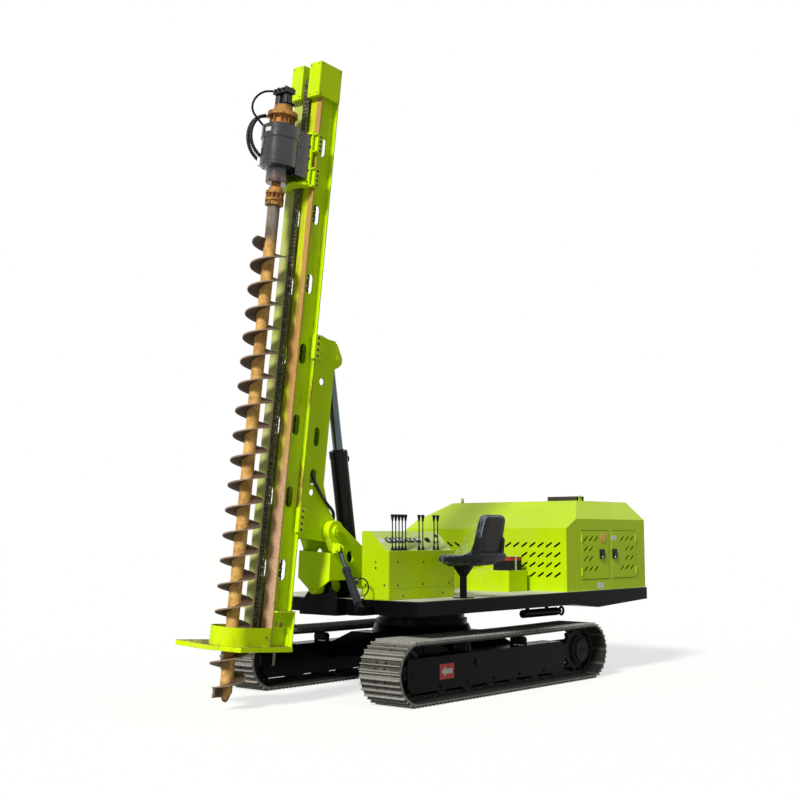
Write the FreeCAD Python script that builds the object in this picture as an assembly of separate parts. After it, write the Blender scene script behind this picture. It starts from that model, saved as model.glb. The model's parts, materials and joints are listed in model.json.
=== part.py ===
import FreeCAD, Part

import math
import os

V = FreeCAD.Vector
os.makedirs("parts", exist_ok=True)

# Crawler solar pile driver with an earth auger. Millimetres, +X forward, +Y left, +Z up,
# origin on the ground under the slew axis. Everything on the mast is drawn upright and then
# laid to its resting lean about the luff pin and the side-tilt pin.

# ---------------------------------------------------------------- tracks
SHOE_PITCH = 171.0
GROUND_SHOES = 19          # shoes on each straight run
END_SHOES = 4              # shoes turned round each end
SHOE_WIDTH = 500.0
SHOE_PLATE = 12.0
SHOE_GAP = 8.0             # between neighbouring plates
GROUSER_H = 22.0
GROUSER_W = 12.0
GROUSER_IN = 22.0          # first grouser from the hinge
GROUSERS_AT = (GROUSER_IN, (SHOE_PITCH - GROUSER_W) / 2, SHOE_PITCH - GROUSER_IN - GROUSER_W)
LINK_BAND = 12.0           # hinge line to the underside of the shoe plate
LINK_DEPTH = 32.0          # hinge line to the running face of the link rails
RAIL_IN, RAIL_OUT = 40.0, 72.0
TRACK_SAG = 10.0
TRACK_Y = 990.0            # track centre line
TURN = math.pi / (END_SHOES + 1)
END_APOTHEM = SHOE_PITCH / (2 * math.tan(TURN / 2))
HINGE_LOW = LINK_BAND + SHOE_PLATE + GROUSER_H
TRACK_END_Z = HINGE_LOW + END_APOTHEM
TRACK_END_X = (GROUND_SHOES - 1) * SHOE_PITCH / 2
RAIL_TOP = HINGE_LOW + LINK_DEPTH
TOP_RUN_Z = HINGE_LOW + 2 * END_APOTHEM - LINK_DEPTH     # running face of the upper run
ROLLER_R = 75.0
ROLLER_LIP = 13.0          # flange above the tread
ROLLER_FLANGE_R = ROLLER_R + ROLLER_LIP
ROLLERS = 6
ROLLER_SPAN = 2 * TRACK_END_X - 1078.0
AXLE_R = 24.0
TOP_ROLLER_R = 45.0
TOP_ROLLERS_X = (-430.0, 560.0)
FRAME_HALF_W = 120.0
FRAME_WALL = 12.0
FRAME_BOX_BOTTOM = RAIL_TOP + ROLLER_R + ROLLER_FLANGE_R + 7.0
FRAME_BOX_H = 187.0
FRAME_TOP = FRAME_BOX_BOTTOM + FRAME_BOX_H
FRAME_LIP_BOTTOM = RAIL_TOP + 34.0
FRAME_FRONT, FRAME_REAR = TRACK_END_X - 389.0, -TRACK_END_X + 369.0
FRAME_LIP_HALF = FRAME_FRONT - 40.0
SPROCKET_W = 50.0
SPROCKET_TEETH = 11
IDLER_HUB_R = 70.0
FINAL_DRIVE_R = 150.0
RUN_GAP = 0.3              # rolling contact left open

# ---------------------------------------------------------------- centre frame and slew
CENTRE_HALF_X, CENTRE_HALF_Y = 570.0, 480.0
CENTRE_BOTTOM, CENTRE_TOP = 300.0, 560.0
LEG_X, LEG_W = 430.0, 260.0
LEG_END_LOW, LEG_END_HIGH = FRAME_BOX_BOTTOM + 7.0, FRAME_TOP - 15.0
PEDESTAL_R = 520.0
SLEW_Z = CENTRE_TOP + 80.0     # foot of the slew ring
SLEW_R_OUT, SLEW_R_IN = 500.0, 380.0
SLEW_H = 62.0
SLEW_GAP = 0.5
TOW_EYE_X, TOW_EYE_Z = CENTRE_HALF_X + 70.0, CENTRE_BOTTOM + 55.0
TOW_EYE_BORE = 25.0
TOW_EYE_T = 40.0
TOW_EYE_HALF = 55.0

# ---------------------------------------------------------------- deck
DECK_TOP = 975.0
DECK_PLATE = 8.0
DECK_DEPTH = 143.0
DECK_EDGE_BOTTOM = DECK_TOP - DECK_DEPTH
DECK_FRONT, DECK_REAR = 1500.0, -2900.0
DECK_HALF = 1190.0
EDGE_BEAM = 80.0
SPINE_Y, SPINE_W = 330.0, 120.0
TURNTABLE_R = 470.0
CROSS_BEAMS_X = (-2520.0, -2150.0, -1780.0, -1400.0, -1030.0, -650.0, -220.0, 220.0, 650.0, 1010.0, 1360.0)
CROSS_BEAM_W = 100.0
NOSE_FRONT, NOSE_HALF = DECK_FRONT + 140.0, 260.0
EAR_FRONT_X = (DECK_FRONT + 60.0, DECK_FRONT + 120.0)
EAR_REAR_X = (DECK_FRONT - 170.0, DECK_FRONT - 110.0)
UNDER_WEDGE_DROP = 55.0

# ---------------------------------------------------------------- hood
HOOD_FRONT, HOOD_HALF = -1130.0, DECK_HALF - 20.0
WALL = 30.0
EAVE_FRONT, EAVE_SIDE = DECK_TOP + 705.0, DECK_TOP + 815.0
ROOF_TOP = DECK_TOP + 1035.0
ROOF_FRONT = HOOD_FRONT - 620.0
ROOF_HALF = HOOD_HALF - 250.0
LIFT_EYE_X, LIFT_EYE_IN, LIFT_EYE_Z = ROOF_FRONT - 150.0, 40.0, 36.0
LIFT_EYE_BORE, LIFT_EYE_T = 14.0, 12.0
ENGINE = ((-2600.0, -1500.0), 400.0, DECK_TOP + 665.0)
EXHAUST = ((LIFT_EYE_X - 130.0, LIFT_EYE_X + 30.0), (ROOF_HALF - 480.0, ROOF_HALF - 70.0), 55.0, 12.0)
SLOT_LEN, SLOT_W, SLOT_TILT = 100.0, 22.0, 32.0
LOUVRE_Y0, LOUVRE_STEP = 374.0, 112.0
LOUVRE_COLS = int((HOOD_HALF - 80 - LOUVRE_Y0) / LOUVRE_STEP) + 1
LOUVRE_ROWS = tuple(DECK_TOP + z for z in (521.0, 409.0, 297.0, 185.0))
DOORS_X = ((-1440.0, -2040.0), (-2105.0, -2680.0))
DOOR_Z = (DECK_TOP + 125.0, DECK_TOP + 685.0)
DOOR_GAP = 5.0
DOOR_SLOT_ROWS = tuple((DECK_TOP + z, n) for z, n in ((587.0, 3), (472.0, 2), (361.0, 2), (247.0, 3)))
DOOR_SLOT_STEP = 115.0
DOOR_PROUD = 4.0           # skin stands off the hood side
LATCH_IN = (155.0, 56.0)   # centre from the free edge, front door and rear door
LATCH_W, LATCH_Z = 90.0, (DOOR_Z[0] + 235.0, DOOR_Z[0] + 340.0)
HINGE_R, HINGE_GAP = 9.0, 0.5
HINGES_Z = (DOOR_Z[0] + 90.0, DOOR_Z[1] - 90.0)
HINGE_KNUCKLE = 30.0

# ---------------------------------------------------------------- console, seat, battery
CONSOLE_X = (470.0, DECK_FRONT)
CONSOLE_Y = (DECK_HALF - 724.0, DECK_HALF - 370.0)
CONSOLE_BACK_Z, CONSOLE_LEDGE_Z = DECK_TOP + 670.0, DECK_TOP + 477.0
CONSOLE_SHELF_W = 120.0
LEVER_Y = CONSOLE_Y[1] - 25.0
LEVERS_X = (1420.0, 1370.0, 1320.0, 1270.0, 1220.0, 1010.0, 950.0, 770.0, 710.0)
LEVER_LEN, LEVER_R = 350.0, 6.0
SEAT_X, SEAT_Y = 655.0, CONSOLE_Y[1] + 260.0
SEAT_W = 450.0
SEAT_AHEAD, SEAT_BEHIND = 200.0, 330.0     # pan front and lower back from the post
SEAT_PAN_Z, SEAT_PAN_T = DECK_TOP + 330.0, 110.0
SEAT_BACK_H, SEAT_BACK_T, SEAT_RAKE = 500.0, 85.0, 90.0
BATTERY_BOX = ((-1050.0, -700.0), (94.0, 686.0), 235.0)
BATTERY_W, BATTERY_H = 230.0, 150.0
RAM_Y, RAM_Z = DECK_HALF - 230.0, DECK_EDGE_BOTTOM - 80.0

# ---------------------------------------------------------------- side tilt and luff
TILT_Z = DECK_TOP + 115.0      # side-tilt pin, along X on the centre line
TILT_REST = 3.2            # mast leans this far to the left at rest
TILT_HUB_R = 70.0
TILT_EAR_WALL = 45.0
TILT_BORE_GAP = 1.0
LUFF_X, LUFF_Z = DECK_FRONT + 145.0, TILT_Z + 565.0
LUFF_REST = 3.6            # and this far back
LUFF_PIN_R = 45.0
LUG_R = 105.0
LUG_GAP = 10.0             # each side of the cradle
CRADLE_HALF = 125.0
CRADLE_PLATE = 14.0
CRADLE_HUB_R = LUFF_PIN_R + 47.0
LUG_IN = CRADLE_HALF + LUG_GAP
BRACKET_HALF = LUG_IN + 83.0
BRACKET_PLATE = 25.0
BRACKET_FRONT = DECK_FRONT + 212.0
BRACKET_REAR = BRACKET_FRONT - 424.0
CRADLE_FRONT, CRADLE_REAR = LUFF_X + 435.0, LUFF_X + 140.0
CRADLE_TOP, CRADLE_FOOT = LUFF_Z + 1905.0, LUFF_Z - 95.0
LUFF_BASE_X, LUFF_BASE_Z = LUFF_X - 490.0, TILT_Z + 90.0
ROD_PIN_X, ROD_PIN_Z = LUFF_X + 105.0, LUFF_Z + 1715.0
LUFF_BARREL_R, LUFF_ROD_R, LUFF_BARREL_LEN = 90.0, 52.0, 1310.0
LUFF_BASE_PIN_R = 32.0
LUFF_ROD_LEN = 1300.0
LUFF_EYE_HALF = 60.0
TILT_CYL_X = LUFF_X + 5.0
TILT_BASE_Y, TILT_BASE_Z = 583.0, DECK_TOP - 83.0
TILT_EYE_Y, TILT_EYE_Z = BRACKET_HALF + 57.0, TILT_Z + 394.0
TILT_BARREL_R, TILT_ROD_R = 40.0, 23.0
TILT_BARREL_LEN, TILT_ROD_LEN = 430.0, 480.0
TILT_EYE_HALF = 16.0
TILT_NECK, TILT_ROD_NECK = 64.0, 54.0      # pin to the foot of the barrel, and to the rod
TILT_BASE_PIN_R, TILT_ROD_PIN_R = 18.0, 16.0
BORE_GAP = 0.5
EYE_GAP = 0.3              # beside an eye between its ears

# ---------------------------------------------------------------- mast
MAST_REAR, MAST_DEPTH = 2140.0, 240.0
MAST_FRONT = MAST_REAR + MAST_DEPTH
MAST_HALF = 196.0
FLANGE_OUT = 55.0          # flange edge beyond the web
WEB_Y = MAST_HALF - FLANGE_OUT
MAST_GAP_HALF = 52.0       # open slot down the front, round the chain
MAST_PLATE, WEB_T = 12.0, 10.0
MAST_FOOT, MAST_LEN = 525.0, 5425.0
MAST_HEAD = MAST_FOOT + MAST_LEN
WEB_SLOT_UP, WEB_SLOT_STEP = 718.0, 700.0
WEB_SLOTS = int((MAST_LEN - WEB_SLOT_UP - 300) / WEB_SLOT_STEP) + 1
WEB_SLOT_LEN, WEB_SLOT_W = 200.0, 90.0
REAR_HOLE_LEN, REAR_HOLE_W = 250.0, 190.0
GUIDE_GAP = 6.0
PAD_GAP = 0.5              # wear pads to the mast flange
CLAMP_T = 20.0
MAST_CLAMPS = ((CRADLE_FOOT + 50.0, CRADLE_FOOT + 290.0), (CRADLE_TOP - 250.0, CRADLE_TOP - 10.0))
CHAIN_X, CHAIN_R, CHAIN_T, CHAIN_HALF = MAST_REAR + 145.0, 115.0, 30.0, 36.0
CROWN_AXIS_Z, FOOT_AXIS_Z = MAST_HEAD + 110.0, MAST_FOOT + 137.0
CROWN_Z = (MAST_HEAD - 35.0, MAST_HEAD + 320.0)
CROWN_FRONT = MAST_FRONT + 60.0
CROWN_IN = CHAIN_HALF + 8.0
CROWN_WALL = 5.0
TENSIONER_R, TENSIONER_OUT = 30.0, 45.0

# ---------------------------------------------------------------- drive head and auger
AUGER_X = MAST_FRONT + 320.0
AUGER_R, STEM_R = 175.0, 60.0
AUGER_PITCH = 236.0
FLIGHT_T = 14.0
FLIGHT_LOW = 130.0
AUGER_TIP = 0.0
HEAD_PLATE_X = MAST_FRONT + 45.0
HEAD_PLATE_T = 20.0
HEAD_Z = (MAST_HEAD - 970.0, MAST_HEAD - 410.0)
HEAD_CLAMPS = ((HEAD_Z[0], HEAD_Z[0] + 190.0), (HEAD_Z[1] - 210.0, HEAD_Z[1] - 20.0))
GEARBOX_R, GEARBOX_Z = 180.0, (HEAD_Z[0] - 30.0, HEAD_Z[1] - 20.0)
GEARBOX_NECK_R = 108.0      # lower stage
COUPLING_TOP = GEARBOX_Z[0] - 0.5
COUPLING_R = 92.0
TUBE_TOP = COUPLING_TOP - 219.5
FLIGHT_TURNS = int((TUBE_TOP - FLIGHT_LOW - 300) / AUGER_PITCH)

# ---------------------------------------------------------------- foot of the mast
HOLE_GAP = 12.0            # round the flights
GUARD_T, GUARD_H = 12.0, 172.0
FOOT_HOLE_R = AUGER_R + HOLE_GAP
FOOT_Z = (MAST_FOOT - 45.0, MAST_FOOT)
FOOT_LEFT, FOOT_RIGHT = FOOT_HOLE_R + GUARD_T + 51.0, FOOT_HOLE_R + GUARD_T + 251.0
GUARD_TOP = MAST_FOOT + GUARD_H
TRAY_Z = MAST_FOOT + 321.0

# ---------------------------------------------------------------- hoses
HOSE_BEND = 0.45           # share of the shorter run that each bend takes
CRADLE_HOSE_R = 15.0
CRADLE_HOSE = ((1972, 55, 2300), (1955, 105, 2200), (1915, 148, 2090), (1835, 155, 1995),
               (1745, 155, 1915), (1650, 146, 1862), (1590, 112, 1822), (1540, 65, 1770), (1520, 30, 1684))
HEAD_HOSE_R = 11.0
HEAD_HOSE = ((2750, -70, 5885), (2840, -90, 5870), (2925, -120, 5815), (2970, -150, 5730),
             (2965, -160, 5640), (2915, -120, 5560), (2825, -80, 5480))
HEAD_PRESSURE_R = 16.0
HEAD_PRESSURE = (((2770, -110, 5642), (2850, -140, 5625), (2915, -165, 5545), (2940, -175, 5440),
                  (2925, -170, 5335), (2865, -155, 5245), (2785, -130, 5200)),
                 ((2735, -125, 5642), (2820, -175, 5640), (2905, -205, 5560), (2945, -215, 5430),
                  (2920, -208, 5295), (2845, -185, 5200), (2760, -145, 5150)))
TILT_HOSE_R = 7.0
TILT_HOSE = ((-50, 30, 290), (-50, 95, 285), (-50, 150, 240), (-50, 158, 170), (-45, 118, 112), (-20, 38, 90))


# ---------------------------------------------------------------- shape helpers
def box(x0, x1, y0, y1, z0, z1):
    return Part.makeBox(x1 - x0, y1 - y0, z1 - z0, V(x0, y0, z0))


def cyl_x(x0, x1, y, z, r):
    return Part.makeCylinder(r, x1 - x0, V(x0, y, z), V(1, 0, 0))


def cyl_y(y0, y1, x, z, r):
    return Part.makeCylinder(r, y1 - y0, V(x, y0, z), V(0, 1, 0))


def cyl_z(z0, z1, x, y, r):
    return Part.makeCylinder(r, z1 - z0, V(x, y, z0), V(0, 0, 1))


def bar(p, q, r):
    return Part.makeCylinder(r, (q - p).Length, p, q - p)


def loop(points):
    return Part.makePolygon(list(points) + [points[0]])


def slab(outer, inner, move):
    """Extrude a flat face with holes."""
    return Part.makeFace([outer] + list(inner), "Part::FaceMakerBullseye").extrude(move)


def prism_y(points, y0, y1, holes=()):
    """Outline in XZ, extruded along Y. Holes are wires drawn at y0."""
    return slab(loop([V(x, y0, z) for x, z in points]), holes, V(0, y1 - y0, 0))


def prism_x(points, x0, x1, holes=()):
    return slab(loop([V(x0, y, z) for y, z in points]), holes, V(x1 - x0, 0, 0))


def prism_z(points, z0, z1, holes=()):
    return slab(loop([V(x, y, z0) for x, y in points]), holes, V(0, 0, z1 - z0))


def round_hole(at, normal, r):
    return Part.Wire(Part.makeCircle(r, at, normal))


def long_hole(at, normal, along, length, width):
    """Slot with half-round ends, centred at a point."""
    n, a = V(normal), V(along)
    n.normalize()
    a.normalize()
    side = n.cross(a)
    half, r = a * ((length - width) / 2), side * (width / 2)
    tip = a * (width / 2)
    p = [at - half + r, at + half + r, at + half - r, at - half - r]
    edges = [Part.makeLine(p[0], p[1]),
             Part.Arc(p[1], at + half + tip, p[2]).toShape(),
             Part.makeLine(p[2], p[3]),
             Part.Arc(p[3], at - half - tip, p[0]).toShape()]
    return Part.Wire(edges)


def fuse(shapes):
    body = shapes[0].fuse(shapes[1:]) if len(shapes) > 1 else shapes[0]
    return body.removeSplitter()


def span(a, b):
    """Two ends in rising order."""
    return (a, b) if a < b else (b, a)


def mirrored(shape):
    return shape.mirror(V(0, 0, 0), V(0, 1, 0))


def revolve(profile, at, axis, angle=360):
    return Part.makeFace([loop(profile)], "Part::FaceMakerBullseye").revolve(at, axis, angle)


def tilt(shape):
    """Lay the side-tilting parts to their resting lean."""
    shape.rotate(V(0, 0, TILT_Z), V(1, 0, 0), -TILT_REST)
    return shape


def lean(shape):
    """Lay the luffing parts to their resting lean."""
    shape.rotate(V(LUFF_X, 0, LUFF_Z), V(0, 1, 0), -LUFF_REST)
    return tilt(shape)


def hose(points, r):
    """Tube of straight runs joined by tangent arcs."""
    edges = []
    start = points[0]
    for k in range(1, len(points) - 1):
        a, b, c = points[k - 1], points[k], points[k + 1]
        back, ahead = a - b, c - b
        run = min(back.Length, ahead.Length)
        back.normalize()
        ahead.normalize()
        turn = math.pi - back.getAngle(ahead)
        if turn < 0.01:
            continue
        cut = HOSE_BEND * run
        bend = cut / math.tan(turn / 2)
        p, q = b + back * cut, b + ahead * cut
        middle = back + ahead
        middle.normalize()
        centre = b + middle * (bend / math.cos(turn / 2))
        edges.append(Part.makeLine(start, p))
        edges.append(Part.Arc(p, centre - middle * bend, q).toShape())
        start = q
        print("    bend radius %.0f, %.1f diameters" % (bend, bend / (2 * r)))
    edges.append(Part.makeLine(start, points[-1]))
    path = Part.Wire(edges)
    lead = points[1] - points[0]
    section = Part.Wire(Part.makeCircle(r, points[0], lead))
    tube = path.makePipeShell([section], True, False)
    print("    length %.0f, volume over section times length %.3f"
          % (path.Length, tube.Volume / (math.pi * r * r * path.Length)))
    return tube


def save(name, shapes):
    solids = []
    for shape in shapes if isinstance(shapes, list) else [shapes]:
        solids += shape.Solids
    out = solids[0] if len(solids) == 1 else Part.makeCompound(solids)
    out.exportStep("parts/%s.step" % name)
    print("%-26s %2d solid  %8.4f m3  valid %s" % (name, len(solids), out.Volume / 1e9, out.isValid()))


# ---------------------------------------------------------------- tracks
def hinge_line():
    """Corners of the track's hinge line in XZ, one shoe to each side."""
    x, z = -GROUND_SHOES * SHOE_PITCH / 2, HINGE_LOW
    turns = [0] * GROUND_SHOES + list(range(1, END_SHOES + 1))
    turns += [END_SHOES + 1] * GROUND_SHOES + list(range(END_SHOES + 2, 2 * END_SHOES + 2))
    points = []
    for k, turn in enumerate(turns):
        sag = 0.0
        across = k - GROUND_SHOES - END_SHOES
        if 1 < across < GROUND_SHOES - 1:
            t = (across - 1) / (GROUND_SHOES - 2)
            sag = 4 * TRACK_SAG * t * (1 - t)
        points.append(V(x, 0, z - sag))
        x += SHOE_PITCH * math.cos(turn * TURN)
        z += SHOE_PITCH * math.sin(turn * TURN)
    return points


def track():
    line = hinge_line()
    count = len(line)
    along, out = [], []
    for k in range(count):
        d = line[(k + 1) % count] - line[k]
        d.normalize()
        along.append(d)
        out.append(V(d.z, 0, -d.x))

    def offset(n, y):
        ring = []
        for k in range(count):
            a, b = out[k - 1], out[k]
            ring.append(line[k] + (a + b) * (n / (1 + a.dot(b))) + V(0, y, 0))
        return ring

    top = LINK_BAND + SHOE_PLATE
    shoe = [(SHOE_GAP / 2, LINK_BAND), (SHOE_GAP / 2, top)]
    for s in GROUSERS_AT:
        shoe += [(s, top), (s + 2, top + GROUSER_H),
                 (s + GROUSER_W - 2, top + GROUSER_H), (s + GROUSER_W, top)]
    shoe += [(SHOE_PITCH - SHOE_GAP / 2, top), (SHOE_PITCH - SHOE_GAP / 2, LINK_BAND)]
    half = SHOE_WIDTH / 2
    outline = []
    for k in range(count):
        outline += [line[k] + along[k] * s + out[k] * n + V(0, -half, 0) for s, n in shoe]
    shapes = [slab(loop(outline), [loop(offset(0, -half))], V(0, SHOE_WIDTH, 0))]
    for y in (RAIL_IN, -RAIL_OUT):
        shapes.append(slab(loop(offset(2, y)), [loop(offset(-LINK_DEPTH, y))],
                           V(0, RAIL_OUT - RAIL_IN, 0)))
    return fuse(shapes)


def wheel(x, z, profile):
    """Turned part about a cross axis: profile of (y, r) pairs on its upper half."""
    points = [V(x, y, z + r) for y, r in profile]
    return revolve([V(x, profile[0][0], z)] + points + [V(x, profile[-1][0], z)],
                   V(x, 0, z), V(0, 1, 0))


def rail_wheel(x, z, run_r, flange_r, hub_y):
    half = [(RAIL_IN - 5, flange_r), (RAIL_IN - 5, run_r), (RAIL_OUT + 3, run_r),
            (RAIL_OUT + 3, flange_r), (RAIL_OUT + 13, flange_r), (RAIL_OUT + 13, AXLE_R * 2),
            (hub_y - 6, AXLE_R * 2), (hub_y - 6, AXLE_R), (hub_y, AXLE_R)]
    left = [(-y, r) for y, r in reversed(half)]
    return wheel(x, z, left + half)


def sprocket():
    root = END_APOTHEM - LINK_DEPTH - 22
    tip = END_APOTHEM - 16
    points = []
    for k in range(SPROCKET_TEETH):
        a = 2 * math.pi * k / SPROCKET_TEETH
        step = 2 * math.pi / SPROCKET_TEETH
        for share, r in ((0.0, root), (0.30, root), (0.44, tip), (0.56, tip), (0.70, root)):
            b = a + share * step
            points.append((-TRACK_END_X + r * math.cos(b), TRACK_END_Z + r * math.sin(b)))
    disc = prism_y(points, -SPROCKET_W / 2, SPROCKET_W / 2)
    inner = -FRAME_HALF_W + FRAME_WALL * 2
    drive = wheel(-TRACK_END_X, TRACK_END_Z,
                  [(inner, FINAL_DRIVE_R - 30), (-SPROCKET_W / 2, FINAL_DRIVE_R - 30),
                   (-SPROCKET_W / 2, FINAL_DRIVE_R), (75, FINAL_DRIVE_R), (75, FINAL_DRIVE_R - 20),
                   (FRAME_HALF_W - 5, FINAL_DRIVE_R - 30), (FRAME_HALF_W - 5, 60),
                   (FRAME_HALF_W + 12, 50)])
    return fuse([disc, drive])


def idler():
    run = END_APOTHEM - LINK_DEPTH - RUN_GAP
    guide = run + LINK_DEPTH - 12
    hub_y = FRAME_HALF_W - FRAME_WALL
    half = [(RAIL_IN - 12, guide), (RAIL_IN - 5, run), (RAIL_OUT, run), (RAIL_OUT, run - 35),
            (45, run - 45), (45, 110), (75, IDLER_HUB_R), (hub_y - 4, IDLER_HUB_R),
            (hub_y - 4, 35), (hub_y, 35)]
    left = [(-y, r) for y, r in reversed(half)]
    return wheel(TRACK_END_X, TRACK_END_Z, left + half)


def roller_places():
    step = ROLLER_SPAN / (ROLLERS - 1)
    return [-ROLLER_SPAN / 2 + k * step for k in range(ROLLERS)]


def rollers():
    low = [rail_wheel(x, RAIL_TOP + ROLLER_R + RUN_GAP, ROLLER_R, ROLLER_FLANGE_R,
                      FRAME_HALF_W - FRAME_WALL) for x in roller_places()]
    high = []
    for x in TOP_ROLLERS_X:
        z = TOP_RUN_Z - TRACK_SAG - TOP_ROLLER_R - 2
        high.append(wheel(x, z, [(-RAIL_OUT - 6, TOP_ROLLER_R), (RAIL_OUT + 6, TOP_ROLLER_R)]))
    return low + high


def track_frame():
    """Roller frame on the left track's own centre line."""
    w = FRAME_HALF_W
    low, top = FRAME_BOX_BOTTOM, FRAME_TOP
    shell = box(FRAME_REAR, FRAME_FRONT, -w, w, low, top)
    for end, inward in ((FRAME_REAR, 90), (FRAME_FRONT, -90)):
        corner = [(end, top + 1), (end + inward, top + 1), (end, top - 60)]
        shell = shell.cut(prism_y(corner, -w - 1, w + 1))
    lip_x, lip_z = FRAME_LIP_HALF, FRAME_LIP_BOTTOM
    lip = [(-lip_x, lip_z), (lip_x, lip_z), (lip_x + 40, lip_z + 48), (lip_x + 40, low + 12),
           (-lip_x - 40, low + 12), (-lip_x - 40, lip_z + 48)]
    lips = [prism_y(lip, w - FRAME_WALL, w), prism_y(lip, -w, -w + FRAME_WALL)]
    z, tip = TRACK_END_Z, TRACK_END_X + 26
    fork = [(FRAME_FRONT - 60, lip_z), (tip - 86, lip_z), (tip, lip_z + 60), (tip, top),
            (FRAME_FRONT - 60, top)]
    forks = [prism_y(fork, w - FRAME_WALL, w), prism_y(fork, -w, -w + FRAME_WALL)]
    horn = [(FRAME_REAR + 60, z - 69), (FRAME_REAR + 60, z + 111), (-TRACK_END_X - 20, z + 111),
            (-TRACK_END_X - 110, z + 41), (-TRACK_END_X - 110, z - 49), (-TRACK_END_X - 20, z - 119)]
    horns = [prism_y(horn, -w, -w + 2 * FRAME_WALL)]
    posts = []
    for x in TOP_ROLLERS_X:
        z = TOP_RUN_Z - TRACK_SAG - TOP_ROLLER_R - 2
        for side in (1, -1):
            y0, y1 = span(side * (RAIL_OUT + 6), side * (RAIL_OUT + 24))
            posts.append(box(x - 22, x + 22, y0, y1, FRAME_TOP - 5, z + 22))
    return fuse([shell] + lips + forks + horns + posts)


def at_left(shape):
    shape.translate(V(0, TRACK_Y, 0))
    return shape


def paired(shapes):
    """Left set and its mirror image."""
    left = [at_left(s) for s in shapes]
    return left + [mirrored(s) for s in left]


def build_undercarriage():
    left, right = paired([track()])
    save("track_left", left)
    save("track_right", right)
    left, right = paired([track_frame()])
    save("track_frame_left", left)
    save("track_frame_right", right)
    save("sprockets", paired([sprocket()]))
    save("idlers", paired([idler()]))
    save("rollers", paired(rollers()))

    reach = TRACK_Y - FRAME_HALF_W
    knee = CENTRE_HALF_Y + 60
    leg = [(-reach, LEG_END_LOW), (-reach, LEG_END_HIGH), (-knee, CENTRE_TOP), (knee, CENTRE_TOP),
           (reach, LEG_END_HIGH), (reach, LEG_END_LOW), (knee, CENTRE_BOTTOM - 5),
           (-knee, CENTRE_BOTTOM - 5)]
    shapes = [prism_x(leg, x - LEG_W / 2, x + LEG_W / 2) for x in (LEG_X, -LEG_X)]
    shapes.append(box(-CENTRE_HALF_X, CENTRE_HALF_X, -CENTRE_HALF_Y, CENTRE_HALF_Y,
                      CENTRE_BOTTOM, CENTRE_TOP))
    shapes.append(Part.makeCone(PEDESTAL_R + 40, PEDESTAL_R, SLEW_Z - CENTRE_TOP + 20,
                                V(0, 0, CENTRE_TOP - 20)))
    w, low, high = TOW_EYE_HALF, TOW_EYE_Z - TOW_EYE_T / 2, TOW_EYE_Z + TOW_EYE_T / 2
    for sign in (1, -1):
        root, bend, end = (sign * x for x in (CENTRE_HALF_X - 10, TOW_EYE_X + 25, TOW_EYE_X + w))
        lug = [(root, -w - 25), (root, w + 25), (bend, w), (end, w - 30), (end, -w + 30), (bend, -w)]
        bore = round_hole(V(sign * TOW_EYE_X, 0, low), V(0, 0, 1), TOW_EYE_BORE)
        shapes.append(prism_z(lug, low, high, [bore]))
    save("centre_frame", fuse(shapes))

    ring = cyl_z(SLEW_Z, SLEW_Z + SLEW_H, 0, 0, SLEW_R_OUT)
    save("slew_ring", ring.cut(cyl_z(SLEW_Z - 1, SLEW_Z + SLEW_H + 1, 0, 0, SLEW_R_IN)))


# ---------------------------------------------------------------- deck
def pivot_ear(x0, x1):
    """Bearing block for the side-tilt tube, standing on the deck."""
    foot = 230.0
    crown = TILT_HUB_R + TILT_EAR_WALL
    low = DECK_TOP - DECK_PLATE - 5
    block = prism_x([(-foot, low), (foot, low), (crown, TILT_Z), (-crown, TILT_Z)], x0, x1)
    block = block.fuse(cyl_x(x0, x1, 0, TILT_Z, crown))
    return block.cut(cyl_x(x0 - 1, x1 + 1, 0, TILT_Z, TILT_HUB_R + TILT_BORE_GAP))


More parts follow.
